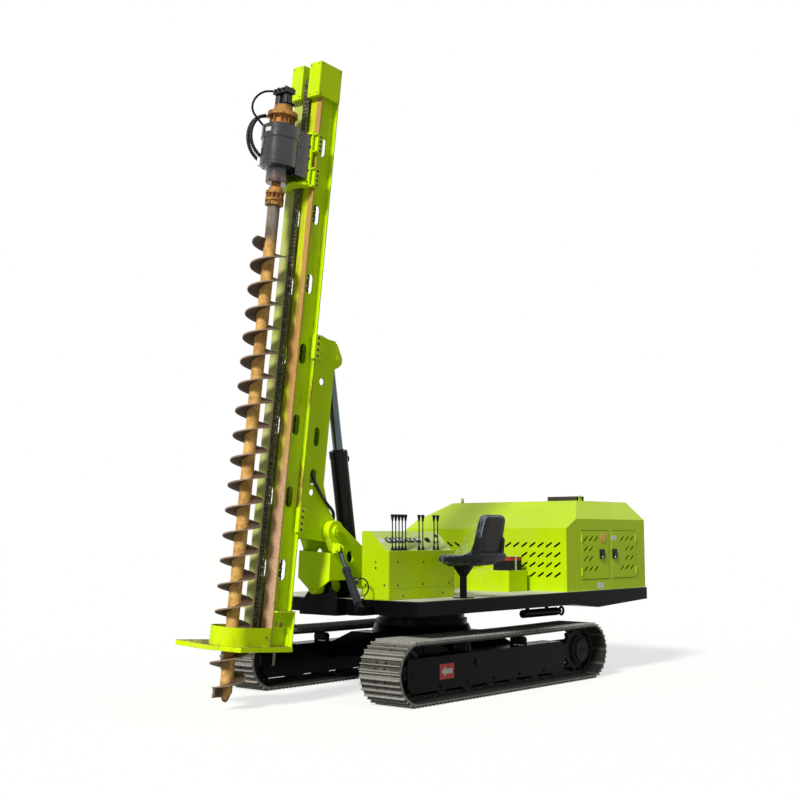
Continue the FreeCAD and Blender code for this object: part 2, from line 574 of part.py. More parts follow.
def build_deck():
    low, top = DECK_EDGE_BOTTOM, DECK_TOP - DECK_PLATE
    shapes = [box(DECK_REAR, DECK_FRONT, DECK_HALF - EDGE_BEAM, DECK_HALF, low, top),
              box(DECK_REAR, DECK_FRONT, -DECK_HALF, -DECK_HALF + EDGE_BEAM, low, top),
              box(DECK_FRONT - EDGE_BEAM, DECK_FRONT, -DECK_HALF, DECK_HALF, low, top),
              box(DECK_REAR, DECK_REAR + EDGE_BEAM, -DECK_HALF, DECK_HALF, low, top)]
    for y in (SPINE_Y, -SPINE_Y):
        shapes.append(box(DECK_REAR, DECK_FRONT, y - SPINE_W / 2, y + SPINE_W / 2, low - 20, top))
    for x in CROSS_BEAMS_X:
        half = CROSS_BEAM_W / 2
        shapes.append(box(x - half, x + half, -DECK_HALF, DECK_HALF, low + 20, top))
    shapes.append(box(-620, 620, -420, 420, low - 20, low + 5))
    shapes.append(cyl_z(SLEW_Z + SLEW_H + SLEW_GAP, low, 0, 0, TURNTABLE_R))
    shapes.append(box(DECK_FRONT - 10, NOSE_FRONT, -NOSE_HALF, NOSE_HALF, low - 20, DECK_TOP))
    shapes += [pivot_ear(*EAR_FRONT_X), pivot_ear(*EAR_REAR_X)]
    # carrier of the side-tilt cylinder's foot
    x0, x1 = TILT_CYL_X - 32, TILT_CYL_X + 40
    y0, y1 = TILT_BASE_Y - 55, TILT_BASE_Y + 55
    z0, z1 = TILT_BASE_Z - 62, TILT_BASE_Z + 26
    shapes.append(box(DECK_FRONT - 10, x0 + 14, y0, y1, z0, z1))
    shapes.append(box(x0, x1, y0, y1, z0, z0 + 14))
    shapes.append(box(x1 - 18, x1, y0, y1, z0, z1))
    shapes.append(cyl_x(x0, x1 + 10, TILT_BASE_Y, TILT_BASE_Z, TILT_BASE_PIN_R))
    frame = fuse(shapes)
    save("deck_frame", frame)

    rear_ear = box(EAR_REAR_X[0] - 4, EAR_REAR_X[1] + 4, -234, 234, top - 5, DECK_TOP + 5)
    plate = box(DECK_REAR, DECK_FRONT - 10, -DECK_HALF, DECK_HALF, top, DECK_TOP).cut(rear_ear)
    save("deck_plate", plate)

    rear = DECK_REAR + 5
    wedge = [(-1250, low), (-1825, low - UNDER_WEDGE_DROP), (rear, low - 5), (rear, low)]
    half = DECK_HALF - 40
    blocks = []
    inner, outer = SPINE_Y - SPINE_W / 2 - 2, SPINE_Y + SPINE_W / 2 + 2
    for y0, y1 in ((-half, -outer), (-inner, inner), (outer, half)):
        blocks.append(prism_y(wedge, y0, y1))
    save("underframe_wedge", blocks)


# ---------------------------------------------------------------- hood
def louvre(at, normal, side, lean_sign):
    a = math.radians(SLOT_TILT)
    along = side * math.cos(a) + V(0, 0, lean_sign * math.sin(a))
    return long_hole(at, normal, along, SLOT_LEN, SLOT_W)


def build_hood():
    x0, x1 = DECK_REAR, HOOD_FRONT
    z0, z1 = DECK_TOP, EAVE_FRONT
    h = HOOD_HALF
    slots = []
    for row, z in enumerate(LOUVRE_ROWS):
        for col in range(0 if row == 0 else 2, LOUVRE_COLS):
            y = LOUVRE_Y0 + col * LOUVRE_STEP
            for sign in (1, -1):
                slots.append(louvre(V(x1 - WALL, sign * y, z), V(1, 0, 0), V(0, 1, 0), sign))
    front = prism_x([(-h, z0), (h, z0), (h, z1), (-h, z1)], x1 - WALL, x1, slots)
    save("hood_front", front)
    save("hood_rear", prism_x([(-h, z0), (h, z0), (h, z1), (-h, z1)], x0, x0 + WALL))

    for name, sign in (("left", 1), ("right", -1)):
        y0 = sign * (h - WALL)
        openings = []
        for near, far in DOORS_X:
            openings.append(loop([V(near, y0, DOOR_Z[0]), V(far, y0, DOOR_Z[0]),
                                  V(far, y0, DOOR_Z[1]), V(near, y0, DOOR_Z[1])]))
        wall = [(x0 + WALL, z0), (x1 - WALL, z0), (x1 - WALL, z1), (x0 + WALL, z1)]
        side = prism_y(wall, y0, sign * h, openings)
        for hinge_x in (DOORS_X[0][0] - DOOR_GAP, DOORS_X[1][1] + DOOR_GAP):
            side = side.cut(knuckles(hinge_x, sign, True, HINGE_R + HINGE_GAP, HINGE_GAP / 2))
            side = side.fuse(knuckles(hinge_x, sign, False, HINGE_R, 0))
        save("hood_" + name, side.removeSplitter())
        for which, (near, far) in zip(("front", "rear"), DOORS_X):
            latch_in = LATCH_IN[0 if which == "front" else 1]
            save("door_%s_%s" % (name, which), door(near, far, which == "front", sign, latch_in))

    outer_x = [(x1, z1), (ROOF_FRONT, ROOF_TOP), (x0, ROOF_TOP), (x0, z1)]
    outer_y = [(-h, z1), (-h, EAVE_SIDE), (-ROOF_HALF, ROOF_TOP), (ROOF_HALF, ROOF_TOP),
               (h, EAVE_SIDE), (h, z1)]
    t = WALL
    inner_x = [(x1 - 2 * t, z1 - 1), (x1 - 2 * t, z1), (ROOF_FRONT - 10, ROOF_TOP - t),
               (x0 + t, ROOF_TOP - t), (x0 + t, z1 - 1)]
    inner_y = [(-h + t, z1 - 1), (-h + t, EAVE_SIDE - 12), (-ROOF_HALF + 12, ROOF_TOP - t),
               (ROOF_HALF - 12, ROOF_TOP - t), (h - t, EAVE_SIDE - 12), (h - t, z1 - 1)]
    outer = prism_y(outer_x, -h, h).common(prism_x(outer_y, x0, x1))
    inner = prism_y(inner_x, -h, h).common(prism_x(inner_y, x0, x1))
    roof = outer.cut(inner)
    eyes = []
    x, half = LIFT_EYE_X, LIFT_EYE_T / 2
    for y in (ROOF_HALF - LIFT_EYE_IN, -ROOF_HALF + LIFT_EYE_IN):
        foot, crest = ROOF_TOP - 2, ROOF_TOP + 62
        plate = [(x - 30, foot), (x + 30, foot), (x + 20, crest), (x - 20, crest)]
        bore = round_hole(V(x, y - half, ROOF_TOP + LIFT_EYE_Z), V(0, 1, 0), LIFT_EYE_BORE)
        eyes.append(prism_y(plate, y - half, y + half, [bore]))
    save("hood_roof", fuse([roof] + eyes))

    (ex0, ex1), ey, etop = ENGINE
    save("engine_block", box(ex0, ex1, -ey, ey, DECK_TOP, etop))
    (dx0, dx1), (dy0, dy1), rise, wall = EXHAUST
    duct = box(dx0, dx1, dy0, dy1, ROOF_TOP, ROOF_TOP + rise)
    duct = duct.cut(box(dx0 + wall, dx1 - wall, dy0 + 220, dy1 + 1, ROOF_TOP + wall, ROOF_TOP + rise - wall))
    save("exhaust", duct)


def knuckles(x, sign, on_door, r, spare):
    """Hinge barrels of a door, or of the hood beside it, with the chosen radius and end play."""
    shapes = []
    y = sign * (HOOD_HALF + DOOR_PROUD)
    half = HINGE_KNUCKLE / 2
    for z in HINGES_Z:
        if on_door:
            shapes.append(cyl_z(z - half - spare, z + half + spare, x, y, r))
        else:
            for side in (1, -1):
                low, high = span(z + side * (half + HINGE_GAP), z + side * 3 * half)
                shapes.append(cyl_z(low - spare, high + spare, x, y, r))
    return shapes


def door(near, far, hinge_at_near, sign, latch_in):
    """Side door filling its opening, hinge barrels on its outer edge, slots and a latch."""
    x_hi, x_lo = near - DOOR_GAP, far + DOOR_GAP
    z_lo, z_hi = DOOR_Z[0] + DOOR_GAP, DOOR_Z[1] - DOOR_GAP
    y_in, y_out = sign * (HOOD_HALF - WALL), sign * (HOOD_HALF + DOOR_PROUD)
    hinge_x, free_x, inward = (x_hi, x_lo, -1) if hinge_at_near else (x_lo, x_hi, 1)
    slots = []
    for z, count in DOOR_SLOT_ROWS:
        for col in range(count):
            x = hinge_x + inward * (90 + col * DOOR_SLOT_STEP)
            slots.append(louvre(V(x, y_in, z), V(0, 1, 0), V(-1, 0, 0), 1))
    panel = prism_y([(x_lo, z_lo), (x_hi, z_lo), (x_hi, z_hi), (x_lo, z_hi)], y_in, y_out, slots)
    latch_x = free_x - inward * latch_in
    y0, y1 = span(y_out - sign, y_out + sign * 10)
    latch = box(latch_x - LATCH_W / 2, latch_x + LATCH_W / 2, y0, y1, *LATCH_Z)
    panel = panel.cut(knuckles(hinge_x, sign, False, HINGE_R + HINGE_GAP, HINGE_GAP / 2))
    return fuse([panel, latch] + knuckles(hinge_x, sign, True, HINGE_R, 0))


# ---------------------------------------------------------------- operator's place
def build_station():
    x0, x1 = CONSOLE_X
    y0, y1 = CONSOLE_Y
    profile = [(y0, DECK_TOP), (y1, DECK_TOP), (y1, CONSOLE_LEDGE_Z), (y1 - 40, CONSOLE_LEDGE_Z + 6),
               (y0 + CONSOLE_SHELF_W, CONSOLE_BACK_Z), (y0, CONSOLE_BACK_Z)]
    save("console", prism_x(profile, x0, x1))

    sticks = []
    for x in LEVERS_X:
        stick = cyl_z(CONSOLE_LEDGE_Z - 12, CONSOLE_LEDGE_Z + LEVER_LEN - 60, x, LEVER_Y, LEVER_R)
        knob = Part.makeCone(LEVER_R + 2, 19, 62, V(x, LEVER_Y, CONSOLE_LEDGE_Z + LEVER_LEN - 62))
        sticks.append(fuse([stick, knob]))
    ledge = prism_x(profile, x0, x1)
    save("levers", [s.cut(ledge) for s in sticks])

    x, y, top = SEAT_X, SEAT_Y, SEAT_PAN_Z
    post = [cyl_z(DECK_TOP, top - 110, x, y, 36),
            box(x - 80, x + 80, y - 75, y + 75, DECK_TOP, DECK_TOP + 10),
            Part.makeCone(38, 108, 98, V(x, y, top - 110)),
            box(x - 120, x + 120, y - 110, y + 150, top - 12, top)]
    save("seat_post", fuse(post))

    ya, yb = SEAT_Y - SEAT_AHEAD, SEAT_Y + SEAT_BEHIND
    z0, z1 = SEAT_PAN_Z, SEAT_PAN_Z + SEAT_PAN_T
    top, t = SEAT_PAN_Z + SEAT_BACK_H, SEAT_BACK_T
    yc = yb + SEAT_RAKE
    side = [(ya, z0 + 35), (ya + 45, z0), (yb - 60, z0), (yb, z0 + 45), (yc, top - 25), (yc - 30, top),
            (yc - t, top - 15), (yb - t, z1 + 30), (yb - t - 40, z1 - 15), (ya + 40, z1), (ya, z1 - 30)]
    save("seat", prism_x(side, SEAT_X - SEAT_W / 2, SEAT_X + SEAT_W / 2))

    (bx0, bx1), (by0, by1), rise = BATTERY_BOX
    top = DECK_TOP + rise
    save("battery_box", box(bx0, bx1, by0, by1, DECK_TOP, top))
    save("battery", box(bx0 + 60, bx1 - 60, by1 - 30 - BATTERY_W, by1 - 30, top, top + BATTERY_H))

    # stowed ram hung below two of the deck's cross beams
    y, z = RAM_Y, RAM_Z
    tube = cyl_x(-1230, -560, y, z, 45)
    ring = Part.makeTorus(42, 14, V(-1330, y, z), V(0, 1, 0))
    neck = cyl_x(-1300, -1225, y, z, 24)
    hangers = [box(x - 10, x + 10, y - 20, y + 20, z + 30, DECK_EDGE_BOTTOM + 20) for x in (-650, -1030)]
    save("stowed_ram", fuse([tube, neck, ring] + hangers))


# ---------------------------------------------------------------- tilt bracket, cradle, cylinders
def build_bracket():
    h, t = BRACKET_HALF, BRACKET_PLATE
    brow, chin, chest = TILT_Z + 350, TILT_Z - TILT_HUB_R, TILT_Z + 80
    front = [(0, chin), (h, chest), (h, brow), (-h, brow), (-h, chest)]
    shapes = [prism_x(front, BRACKET_FRONT - 22, BRACKET_FRONT)]
    rear = [(0, chin), (h, chest), (h, chest + 70), (-h, chest + 70), (-h, chest)]
    shapes.append(prism_x(rear, BRACKET_REAR, BRACKET_REAR + 22))
    shapes.append(cyl_x(BRACKET_REAR, BRACKET_FRONT, 0, TILT_Z, TILT_HUB_R))
    shapes.append(cyl_x(BRACKET_FRONT - 5, BRACKET_FRONT + 22, 0, TILT_Z, 42))

    x, z = LUFF_X, LUFF_Z
    base_x, base_z = LUFF_BASE_X, LUFF_BASE_Z
    side = [(BRACKET_FRONT, chest), (BRACKET_FRONT, brow - 45), (x + 10, z - 203), (x + 45, z - 135),
            (x + LUG_R * 0.94, z - 30), (x, z), (x - 30, z + LUG_R * 0.9), (x - 406, z - 155),
            (base_x - 135, base_z + 180), (base_x - 135, base_z - 90), (base_x + 95, base_z - 105),
            (base_x + 265, chest)]
    lug = [(x + 45, z - 135), (x + LUG_R * 0.94, z - 30), (x, z), (x - 60, z + LUG_R * 0.75),
           (x - 150, z - 20), (x - 120, z - 215), (x + 10, z - 203)]
    for sign in (1, -1):
        y_out, y_in, y_lug = sign * h, sign * (h - t), sign * LUG_IN
        lo, hi = span(y_out, y_in)
        window = long_hole(V(x - 221, lo, z - 255), V(0, 1, 0), V(0.35, 0, 1), 120, 84)
        plate = prism_y(side, lo, hi, [window])
        lo, hi = span(y_out, y_lug)
        shapes += [plate, prism_y(lug, lo, hi), cyl_y(lo, hi, LUFF_X, LUFF_Z, LUG_R)]
        lo, hi = span(sign * (h - 5), sign * (h + 22))
        shapes.append(cyl_y(lo, hi, LUFF_X, LUFF_Z, 52))
        lo, hi = span(sign * (LUFF_EYE_HALF + EYE_GAP), sign * (h + 14))
        shapes.append(cyl_y(lo, hi, LUFF_BASE_X, LUFF_BASE_Z, 60))
    shapes.append(cyl_y(-h, h, LUFF_BASE_X, LUFF_BASE_Z, LUFF_BASE_PIN_R))
    shapes.append(cyl_y(-h, h, LUFF_X, LUFF_Z, LUFF_PIN_R))
    # ears of the side-tilt cylinder's rod eye, on the left side plate
    inner = TILT_EYE_HALF + EYE_GAP
    y, z = TILT_EYE_Y, TILT_EYE_Z
    ear = [(h - 8, z - 42), (y, z - 42), (y + 38, z - 15), (y + 38, z + 22), (y, z + 42), (h - 8, z + 60)]
    for x0 in (TILT_CYL_X - inner - 16, TILT_CYL_X + inner):
        shapes.append(prism_x(ear, x0, x0 + 16))
    shapes.append(cyl_x(TILT_CYL_X - 44, TILT_CYL_X - inner, y, z, TILT_ROD_PIN_R))
    shapes.append(cyl_x(TILT_CYL_X + inner, TILT_CYL_X + 44, y, z, TILT_ROD_PIN_R))
    save("tilt_bracket", tilt(fuse(shapes)))


def jaws(zone, flange_x0, flange_x1, inner_y, back, front):
    """Guide jaws round one flange edge, left side: back jaw, outer cheek, front jaw and wear pad."""
    z0, z1 = zone
    y_out = MAST_HALF + GUIDE_GAP
    return [box(flange_x0 + 1, flange_x1 - 1, MAST_HALF + PAD_GAP, y_out + 1, z0 + 30, z1 - 30),
            box(flange_x0 - GUIDE_GAP - back, flange_x0 - GUIDE_GAP, inner_y, y_out + CLAMP_T, z0, z1),
            box(flange_x0 - GUIDE_GAP - back, flange_x1 + GUIDE_GAP + front, y_out, y_out + CLAMP_T, z0, z1),
            box(flange_x1 + GUIDE_GAP, flange_x1 + GUIDE_GAP + front, inner_y + 20, y_out + CLAMP_T, z0, z1)]


def build_cradle():
    h, t = CRADLE_HALF, CRADLE_PLATE
    x, z = LUFF_X, LUFF_Z
    side = [(CRADLE_FRONT, CRADLE_FOOT), (CRADLE_FRONT, CRADLE_TOP), (CRADLE_REAR + 10, CRADLE_TOP - 10),
            (CRADLE_REAR, CRADLE_TOP - 360), (CRADLE_REAR, z + 445), (x + 45, z + 225), (x - 85, z + 75),
            (x - 110, z), (x - 85, z - 85), (x, z - 115), (x + 155, z - 107)]
    mid = CRADLE_FRONT - 135
    shapes = []
    for sign in (1, -1):
        lo, hi = span(sign * h, sign * (h - t))
        holes = [round_hole(V(x, lo, z), V(0, 1, 0), LUFF_PIN_R + BORE_GAP)]
        if sign > 0:        # the right plate has no hand holes
            holes += [round_hole(V(mid, lo, z + 1461), V(0, 1, 0), 35),
                      long_hole(V(mid, lo, z + 910), V(0, 1, 0), V(0, 0, 1), 190, 72),
                      long_hole(V(mid, lo, z + 510), V(0, 1, 0), V(0, 0, 1), 156, 84),
                      round_hole(V(mid, lo, z + 357), V(0, 1, 0), 32)]
        shapes.append(prism_y(side, lo, hi, holes))
        px, pz = ROD_PIN_X, ROD_PIN_Z
        ear = [(CRADLE_REAR + 60, pz - 140), (CRADLE_REAR + 60, pz + 160), (CRADLE_REAR - 10, pz + 160),
               (px - 68, pz + 25), (px - 68, pz - 30), (px - 30, pz - 70)]
        lo, hi = span(sign * (h - 28), sign * h)
        shapes.append(prism_y(ear, lo, hi))
        lo, hi = span(sign * (LUFF_EYE_HALF + EYE_GAP), sign * (h + 16))
        shapes.append(cyl_y(lo, hi, ROD_PIN_X, ROD_PIN_Z, 34))
        for zone in MAST_CLAMPS:
            parts = jaws(zone, MAST_REAR, MAST_REAR + MAST_PLATE, WEB_Y + 10, 34, CLAMP_T)
            edge, tip = MAST_REAR - GUIDE_GAP, MAST_HALF + GUIDE_GAP + CLAMP_T
            wing = [(CRADLE_FRONT - 200, h - 5), (edge - 34, tip), (edge, tip), (edge, h - 5)]
            for low in (zone[0], zone[1] - 14):
                parts.append(prism_z(wing, low, low + 14))
            parts.append(box(CRADLE_FRONT - 30, MAST_REAR - GUIDE_GAP, h - 5, WEB_Y + 20, zone[0], zone[1]))
            if sign < 0:
                parts = [mirrored(p) for p in parts]
            shapes += parts
    shapes.append(box(CRADLE_FRONT - t, CRADLE_FRONT, -h, h, CRADLE_FOOT, CRADLE_TOP))
    shapes.append(box(CRADLE_REAR, CRADLE_REAR + t, -h, h, z + 455, z + 1195))
    shapes.append(box(CRADLE_REAR + 60, CRADLE_FRONT, -h, h, CRADLE_TOP - 40, CRADLE_TOP - 26))
    shapes.append(cyl_y(-h, h, LUFF_X, LUFF_Z, CRADLE_HUB_R))
    end_x, end_y, end_z = CRADLE_HOSE[-1]
    shapes.append(box(end_x - 25, LUFF_X - 70, end_y - 50, end_y + 30, end_z - 12, end_z))
    frame = fuse(shapes).cut(cyl_y(-h - 30, h + 30, LUFF_X, LUFF_Z, LUFF_PIN_R + BORE_GAP))
    route = [V(*p) for p in CRADLE_HOSE]
    tube = hose(route, CRADLE_HOSE_R).cut(box(end_x - 60, end_x + 60, -h, h, end_z - 60, end_z))
    save("cradle", lean(frame))
    save("cradle_hose", lean(tube))


def spin(x, z, angle):
    """Turn a point about the luff pin in the mast's plane."""
    a = math.radians(angle)
    dx, dz = x - LUFF_X, z - LUFF_Z
    return V(LUFF_X + dx * math.cos(a) - dz * math.sin(a), 0, LUFF_Z + dx * math.sin(a) + dz * math.cos(a))


def tilted_point(p):
    a = math.radians(TILT_REST)
    dz = p.z - TILT_Z
    return V(p.x, p.y * math.cos(a) + dz * math.sin(a), TILT_Z - p.y * math.sin(a) + dz * math.cos(a))


def build_cylinders():
    foot = V(LUFF_BASE_X, 0, LUFF_BASE_Z)
    head = spin(ROD_PIN_X, ROD_PIN_Z, LUFF_REST)
    d = head - foot
    d.normalize()
    eye_half = LUFF_EYE_HALF
    barrel = [bar(foot + d * 70, foot + d * LUFF_BARREL_LEN, LUFF_BARREL_R),
              cyl_y(-eye_half, eye_half, foot.x, foot.z, 78),
              bar(foot + d * (LUFF_BARREL_LEN - 70), foot + d * (LUFF_BARREL_LEN - 2), LUFF_BARREL_R + 6)]
    barrel = fuse(barrel).cut(bar(foot + d * 100, foot + d * (LUFF_BARREL_LEN + 5), LUFF_ROD_R + BORE_GAP))
    barrel = barrel.cut(cyl_y(-eye_half - 1, eye_half + 1, foot.x, foot.z, LUFF_BASE_PIN_R + BORE_GAP))
    save("luff_cylinder_barrel", tilt(barrel))
    rod = fuse([bar(head - d * LUFF_ROD_LEN, head - d * 40, LUFF_ROD_R),
                cyl_y(-eye_half, eye_half, head.x, head.z, 66)])
    save("luff_cylinder_rod", tilt(rod))

    foot = V(TILT_CYL_X, TILT_BASE_Y, TILT_BASE_Z)
    head = tilted_point(V(TILT_CYL_X, TILT_EYE_Y, TILT_EYE_Z))
    d = head - foot
    d.normalize()
    side = V(0, d.z, -d.y)

    def beside(x, across, up):
        return foot + V(x, 0, 0) + side * across + d * up

    def block(x0, x1, across, up0, up1):
        shape = box(x0, x1, -across, across, up0, up1)
        shape.rotate(V(0, 0, 0), V(1, 0, 0), math.degrees(math.atan2(-d.y, d.z)))
        shape.translate(foot)
        return shape

    e = TILT_EYE_HALF
    barrel = [bar(foot + d * TILT_NECK, foot + d * TILT_BARREL_LEN, TILT_BARREL_R),
              cyl_x(foot.x - e, foot.x + e, foot.y, foot.z, 36),
              block(-e + 1, e - 1, 28, 20, TILT_NECK + 5),
              bar(foot + d * (TILT_BARREL_LEN - 40), foot + d * (TILT_BARREL_LEN - 2), TILT_BARREL_R + 5)]
    barrel = fuse(barrel + [block(-75, -25, 30, 255, 325)])
    save("tilt_hose", hose([beside(*p) for p in TILT_HOSE], TILT_HOSE_R).cut(barrel))
    bore = bar(foot + d * (TILT_NECK + 18), foot + d * (TILT_BARREL_LEN + 5), TILT_ROD_R + BORE_GAP)
    barrel = barrel.cut(bore)
    barrel = barrel.cut(cyl_x(foot.x - 20, foot.x + 20, foot.y, foot.z, TILT_BASE_PIN_R + BORE_GAP))
    save("tilt_cylinder_barrel", barrel)
    reach = (head - foot).Length
    rod = fuse([bar(head - d * TILT_ROD_LEN, head - d * TILT_ROD_NECK, TILT_ROD_R),
                block(-e + 1, e - 1, 17, reach - TILT_ROD_NECK - 5, reach - 20),
                cyl_x(head.x - e, head.x + e, head.y, head.z, 32)])
    save("tilt_cylinder_rod", rod)


# ---------------------------------------------------------------- mast
def build_mast():
    t, h = MAST_PLATE, MAST_HALF
    z0, z1 = MAST_FOOT, MAST_HEAD
    holes_z = [z0 + WEB_SLOT_UP + k * WEB_SLOT_STEP for k in range(WEB_SLOTS)]
    rear = [(-h, z0), (h, z0), (h, z1), (-h, z1)]
    rear_holes = [long_hole(V(MAST_REAR, 0, z + 15), V(1, 0, 0), V(0, 0, 1), REAR_HOLE_LEN, REAR_HOLE_W)
                  for z in holes_z]
    shapes = [prism_x(rear, MAST_REAR, MAST_REAR + t, rear_holes)]
    x_mid = (MAST_FRONT + MAST_REAR) / 2
    web_x0, web_x1 = MAST_REAR + t - 1, MAST_FRONT - t + 1
    web = [(web_x0, z0), (web_x1, z0), (web_x1, z1), (web_x0, z1)]
    for sign in (1, -1):
        lo, hi = span(sign * h, sign * MAST_GAP_HALF)
        shapes.append(box(MAST_FRONT - t, MAST_FRONT, lo, hi, z0, z1))
        lo, hi = span(sign * WEB_Y, sign * (WEB_Y - WEB_T))
        slots = [long_hole(V(x_mid, lo, z), V(0, 1, 0), V(0, 0, 1), WEB_SLOT_LEN, WEB_SLOT_W)
                 for z in holes_z]
        shapes.append(prism_y(web, lo, hi, slots))
        lo, hi = span(sign * (WEB_Y - 2), sign * (WEB_Y + TENSIONER_OUT))
        shapes.append(cyl_y(lo, hi, x_mid, FOOT_AXIS_Z + 70, TENSIONER_R))
    save("mast_column", lean(fuse(shapes)))

    z0, z1 = CROWN_Z
    shapes = []
    for sign in (1, -1):
        inner, outer = sign * CROWN_IN, sign * (h + CROWN_WALL)
        lo, hi = span(inner, outer)
        shapes.append(box(MAST_REAR, CROWN_FRONT, lo, hi, MAST_HEAD, z1))
        shapes.append(box(MAST_FRONT + 1, CROWN_FRONT, lo, hi, z0, MAST_HEAD + 5))
        lo, hi = span(sign * (h + 1), outer)
        shapes.append(box(MAST_REAR, CROWN_FRONT, lo, hi, z0, MAST_HEAD + 5))
    shapes.append(box(MAST_REAR, MAST_REAR + 10, -h, h, MAST_HEAD, z1))
    shapes.append(cyl_y(-CROWN_IN - 5, CROWN_IN + 5, CHAIN_X, CROWN_AXIS_Z, 30))
    wheel_r = CHAIN_R - CHAIN_T / 2 - RUN_GAP
    shapes.append(cyl_y(-CHAIN_HALF + 8, CHAIN_HALF - 8, CHAIN_X, CROWN_AXIS_Z, wheel_r))
    save("mast_crown", lean(fuse(shapes)))

    motor_z = CROWN_AXIS_Z - 60
    motor = [cyl_y(-h - 130, -h - 5, CHAIN_X, motor_z, 62),
             cyl_y(-h - 165, -h - 125, CHAIN_X, motor_z, 45),
             box(CHAIN_X - 30, CHAIN_X + 75, -h - 120, -h - 50, motor_z + 20, motor_z + 85)]
    save("feed_motor", lean(fuse(motor)))

    r0, r1 = CHAIN_R - CHAIN_T / 2, CHAIN_R + CHAIN_T / 2

    def race(r):
        lo, hi = FOOT_AXIS_Z, CROWN_AXIS_Z
        y = -CHAIN_HALF
        p = [V(CHAIN_X + r, y, lo), V(CHAIN_X + r, y, hi), V(CHAIN_X - r, y, hi), V(CHAIN_X - r, y, lo)]
        return Part.Wire([Part.makeLine(p[0], p[1]), Part.Arc(p[1], V(CHAIN_X, y, hi + r), p[2]).toShape(),
                          Part.makeLine(p[2], p[3]), Part.Arc(p[3], V(CHAIN_X, y, lo - r), p[0]).toShape()])

    save("feed_chain", lean(slab(race(r1), [race(r0)], V(0, 2 * CHAIN_HALF, 0))))

    # foot: plate with the auger hole, guard, tensioner, rear post and spike
    z0, z1 = FOOT_Z
    hole_r, x = FOOT_HOLE_R, AUGER_X
    outline = [(MAST_REAR - 10, FOOT_LEFT), (x + 90, FOOT_LEFT), (x + hole_r + 85, -20),
               (x + hole_r + 115, -FOOT_RIGHT + 30), (x + hole_r + 73, -FOOT_RIGHT), (x - 140, -FOOT_RIGHT),
               (MAST_FRONT - 50, -FOOT_LEFT), (MAST_REAR - 10, -FOOT_LEFT)]
    hole = round_hole(V(AUGER_X, 0, z0), V(0, 0, 1), hole_r)
    shapes = [prism_z(outline, z0, z1, [hole])]
    half = cyl_z(z1 - 2, GUARD_TOP, x, 0, hole_r + GUARD_T).cut(cyl_z(z1 - 3, GUARD_TOP + 1, x, 0, hole_r))
    half = half.cut(box(x - 2 * hole_r, x, -2 * hole_r, 2 * hole_r, z0, GUARD_TOP + 1))
    shapes.append(half)
    for sign in (1, -1):
        lo, hi = span(sign * hole_r, sign * (hole_r + GUARD_T))
        shapes.append(box(MAST_FRONT, AUGER_X + 5, lo, hi, z1 - 2, GUARD_TOP))
    shapes.append(cyl_z(z0 - 148, z0 + 5, MAST_REAR + 40, 60, 13))
    for sign in (1, -1):
        lo, hi = span(sign * WEB_Y, sign * (h + 45))
        shapes.append(box(MAST_REAR - 10, MAST_REAR, lo, hi, z1 - 2, TRAY_Z + 14))
        lo, hi = span(sign * (WEB_Y + 1), sign * (h + 45))
        tray = box(MAST_REAR - 10, MAST_FRONT - MAST_PLATE - 2, lo, hi, TRAY_Z, TRAY_Z + 14)
        flange = box(MAST_REAR - 1, MAST_REAR + MAST_PLATE + 1, -h - 1, h + 1, TRAY_Z - 6, TRAY_Z + 24)
        shapes.append(tray.cut(flange))
    foot = fuse(shapes)
    save("foot_plate", lean(foot))


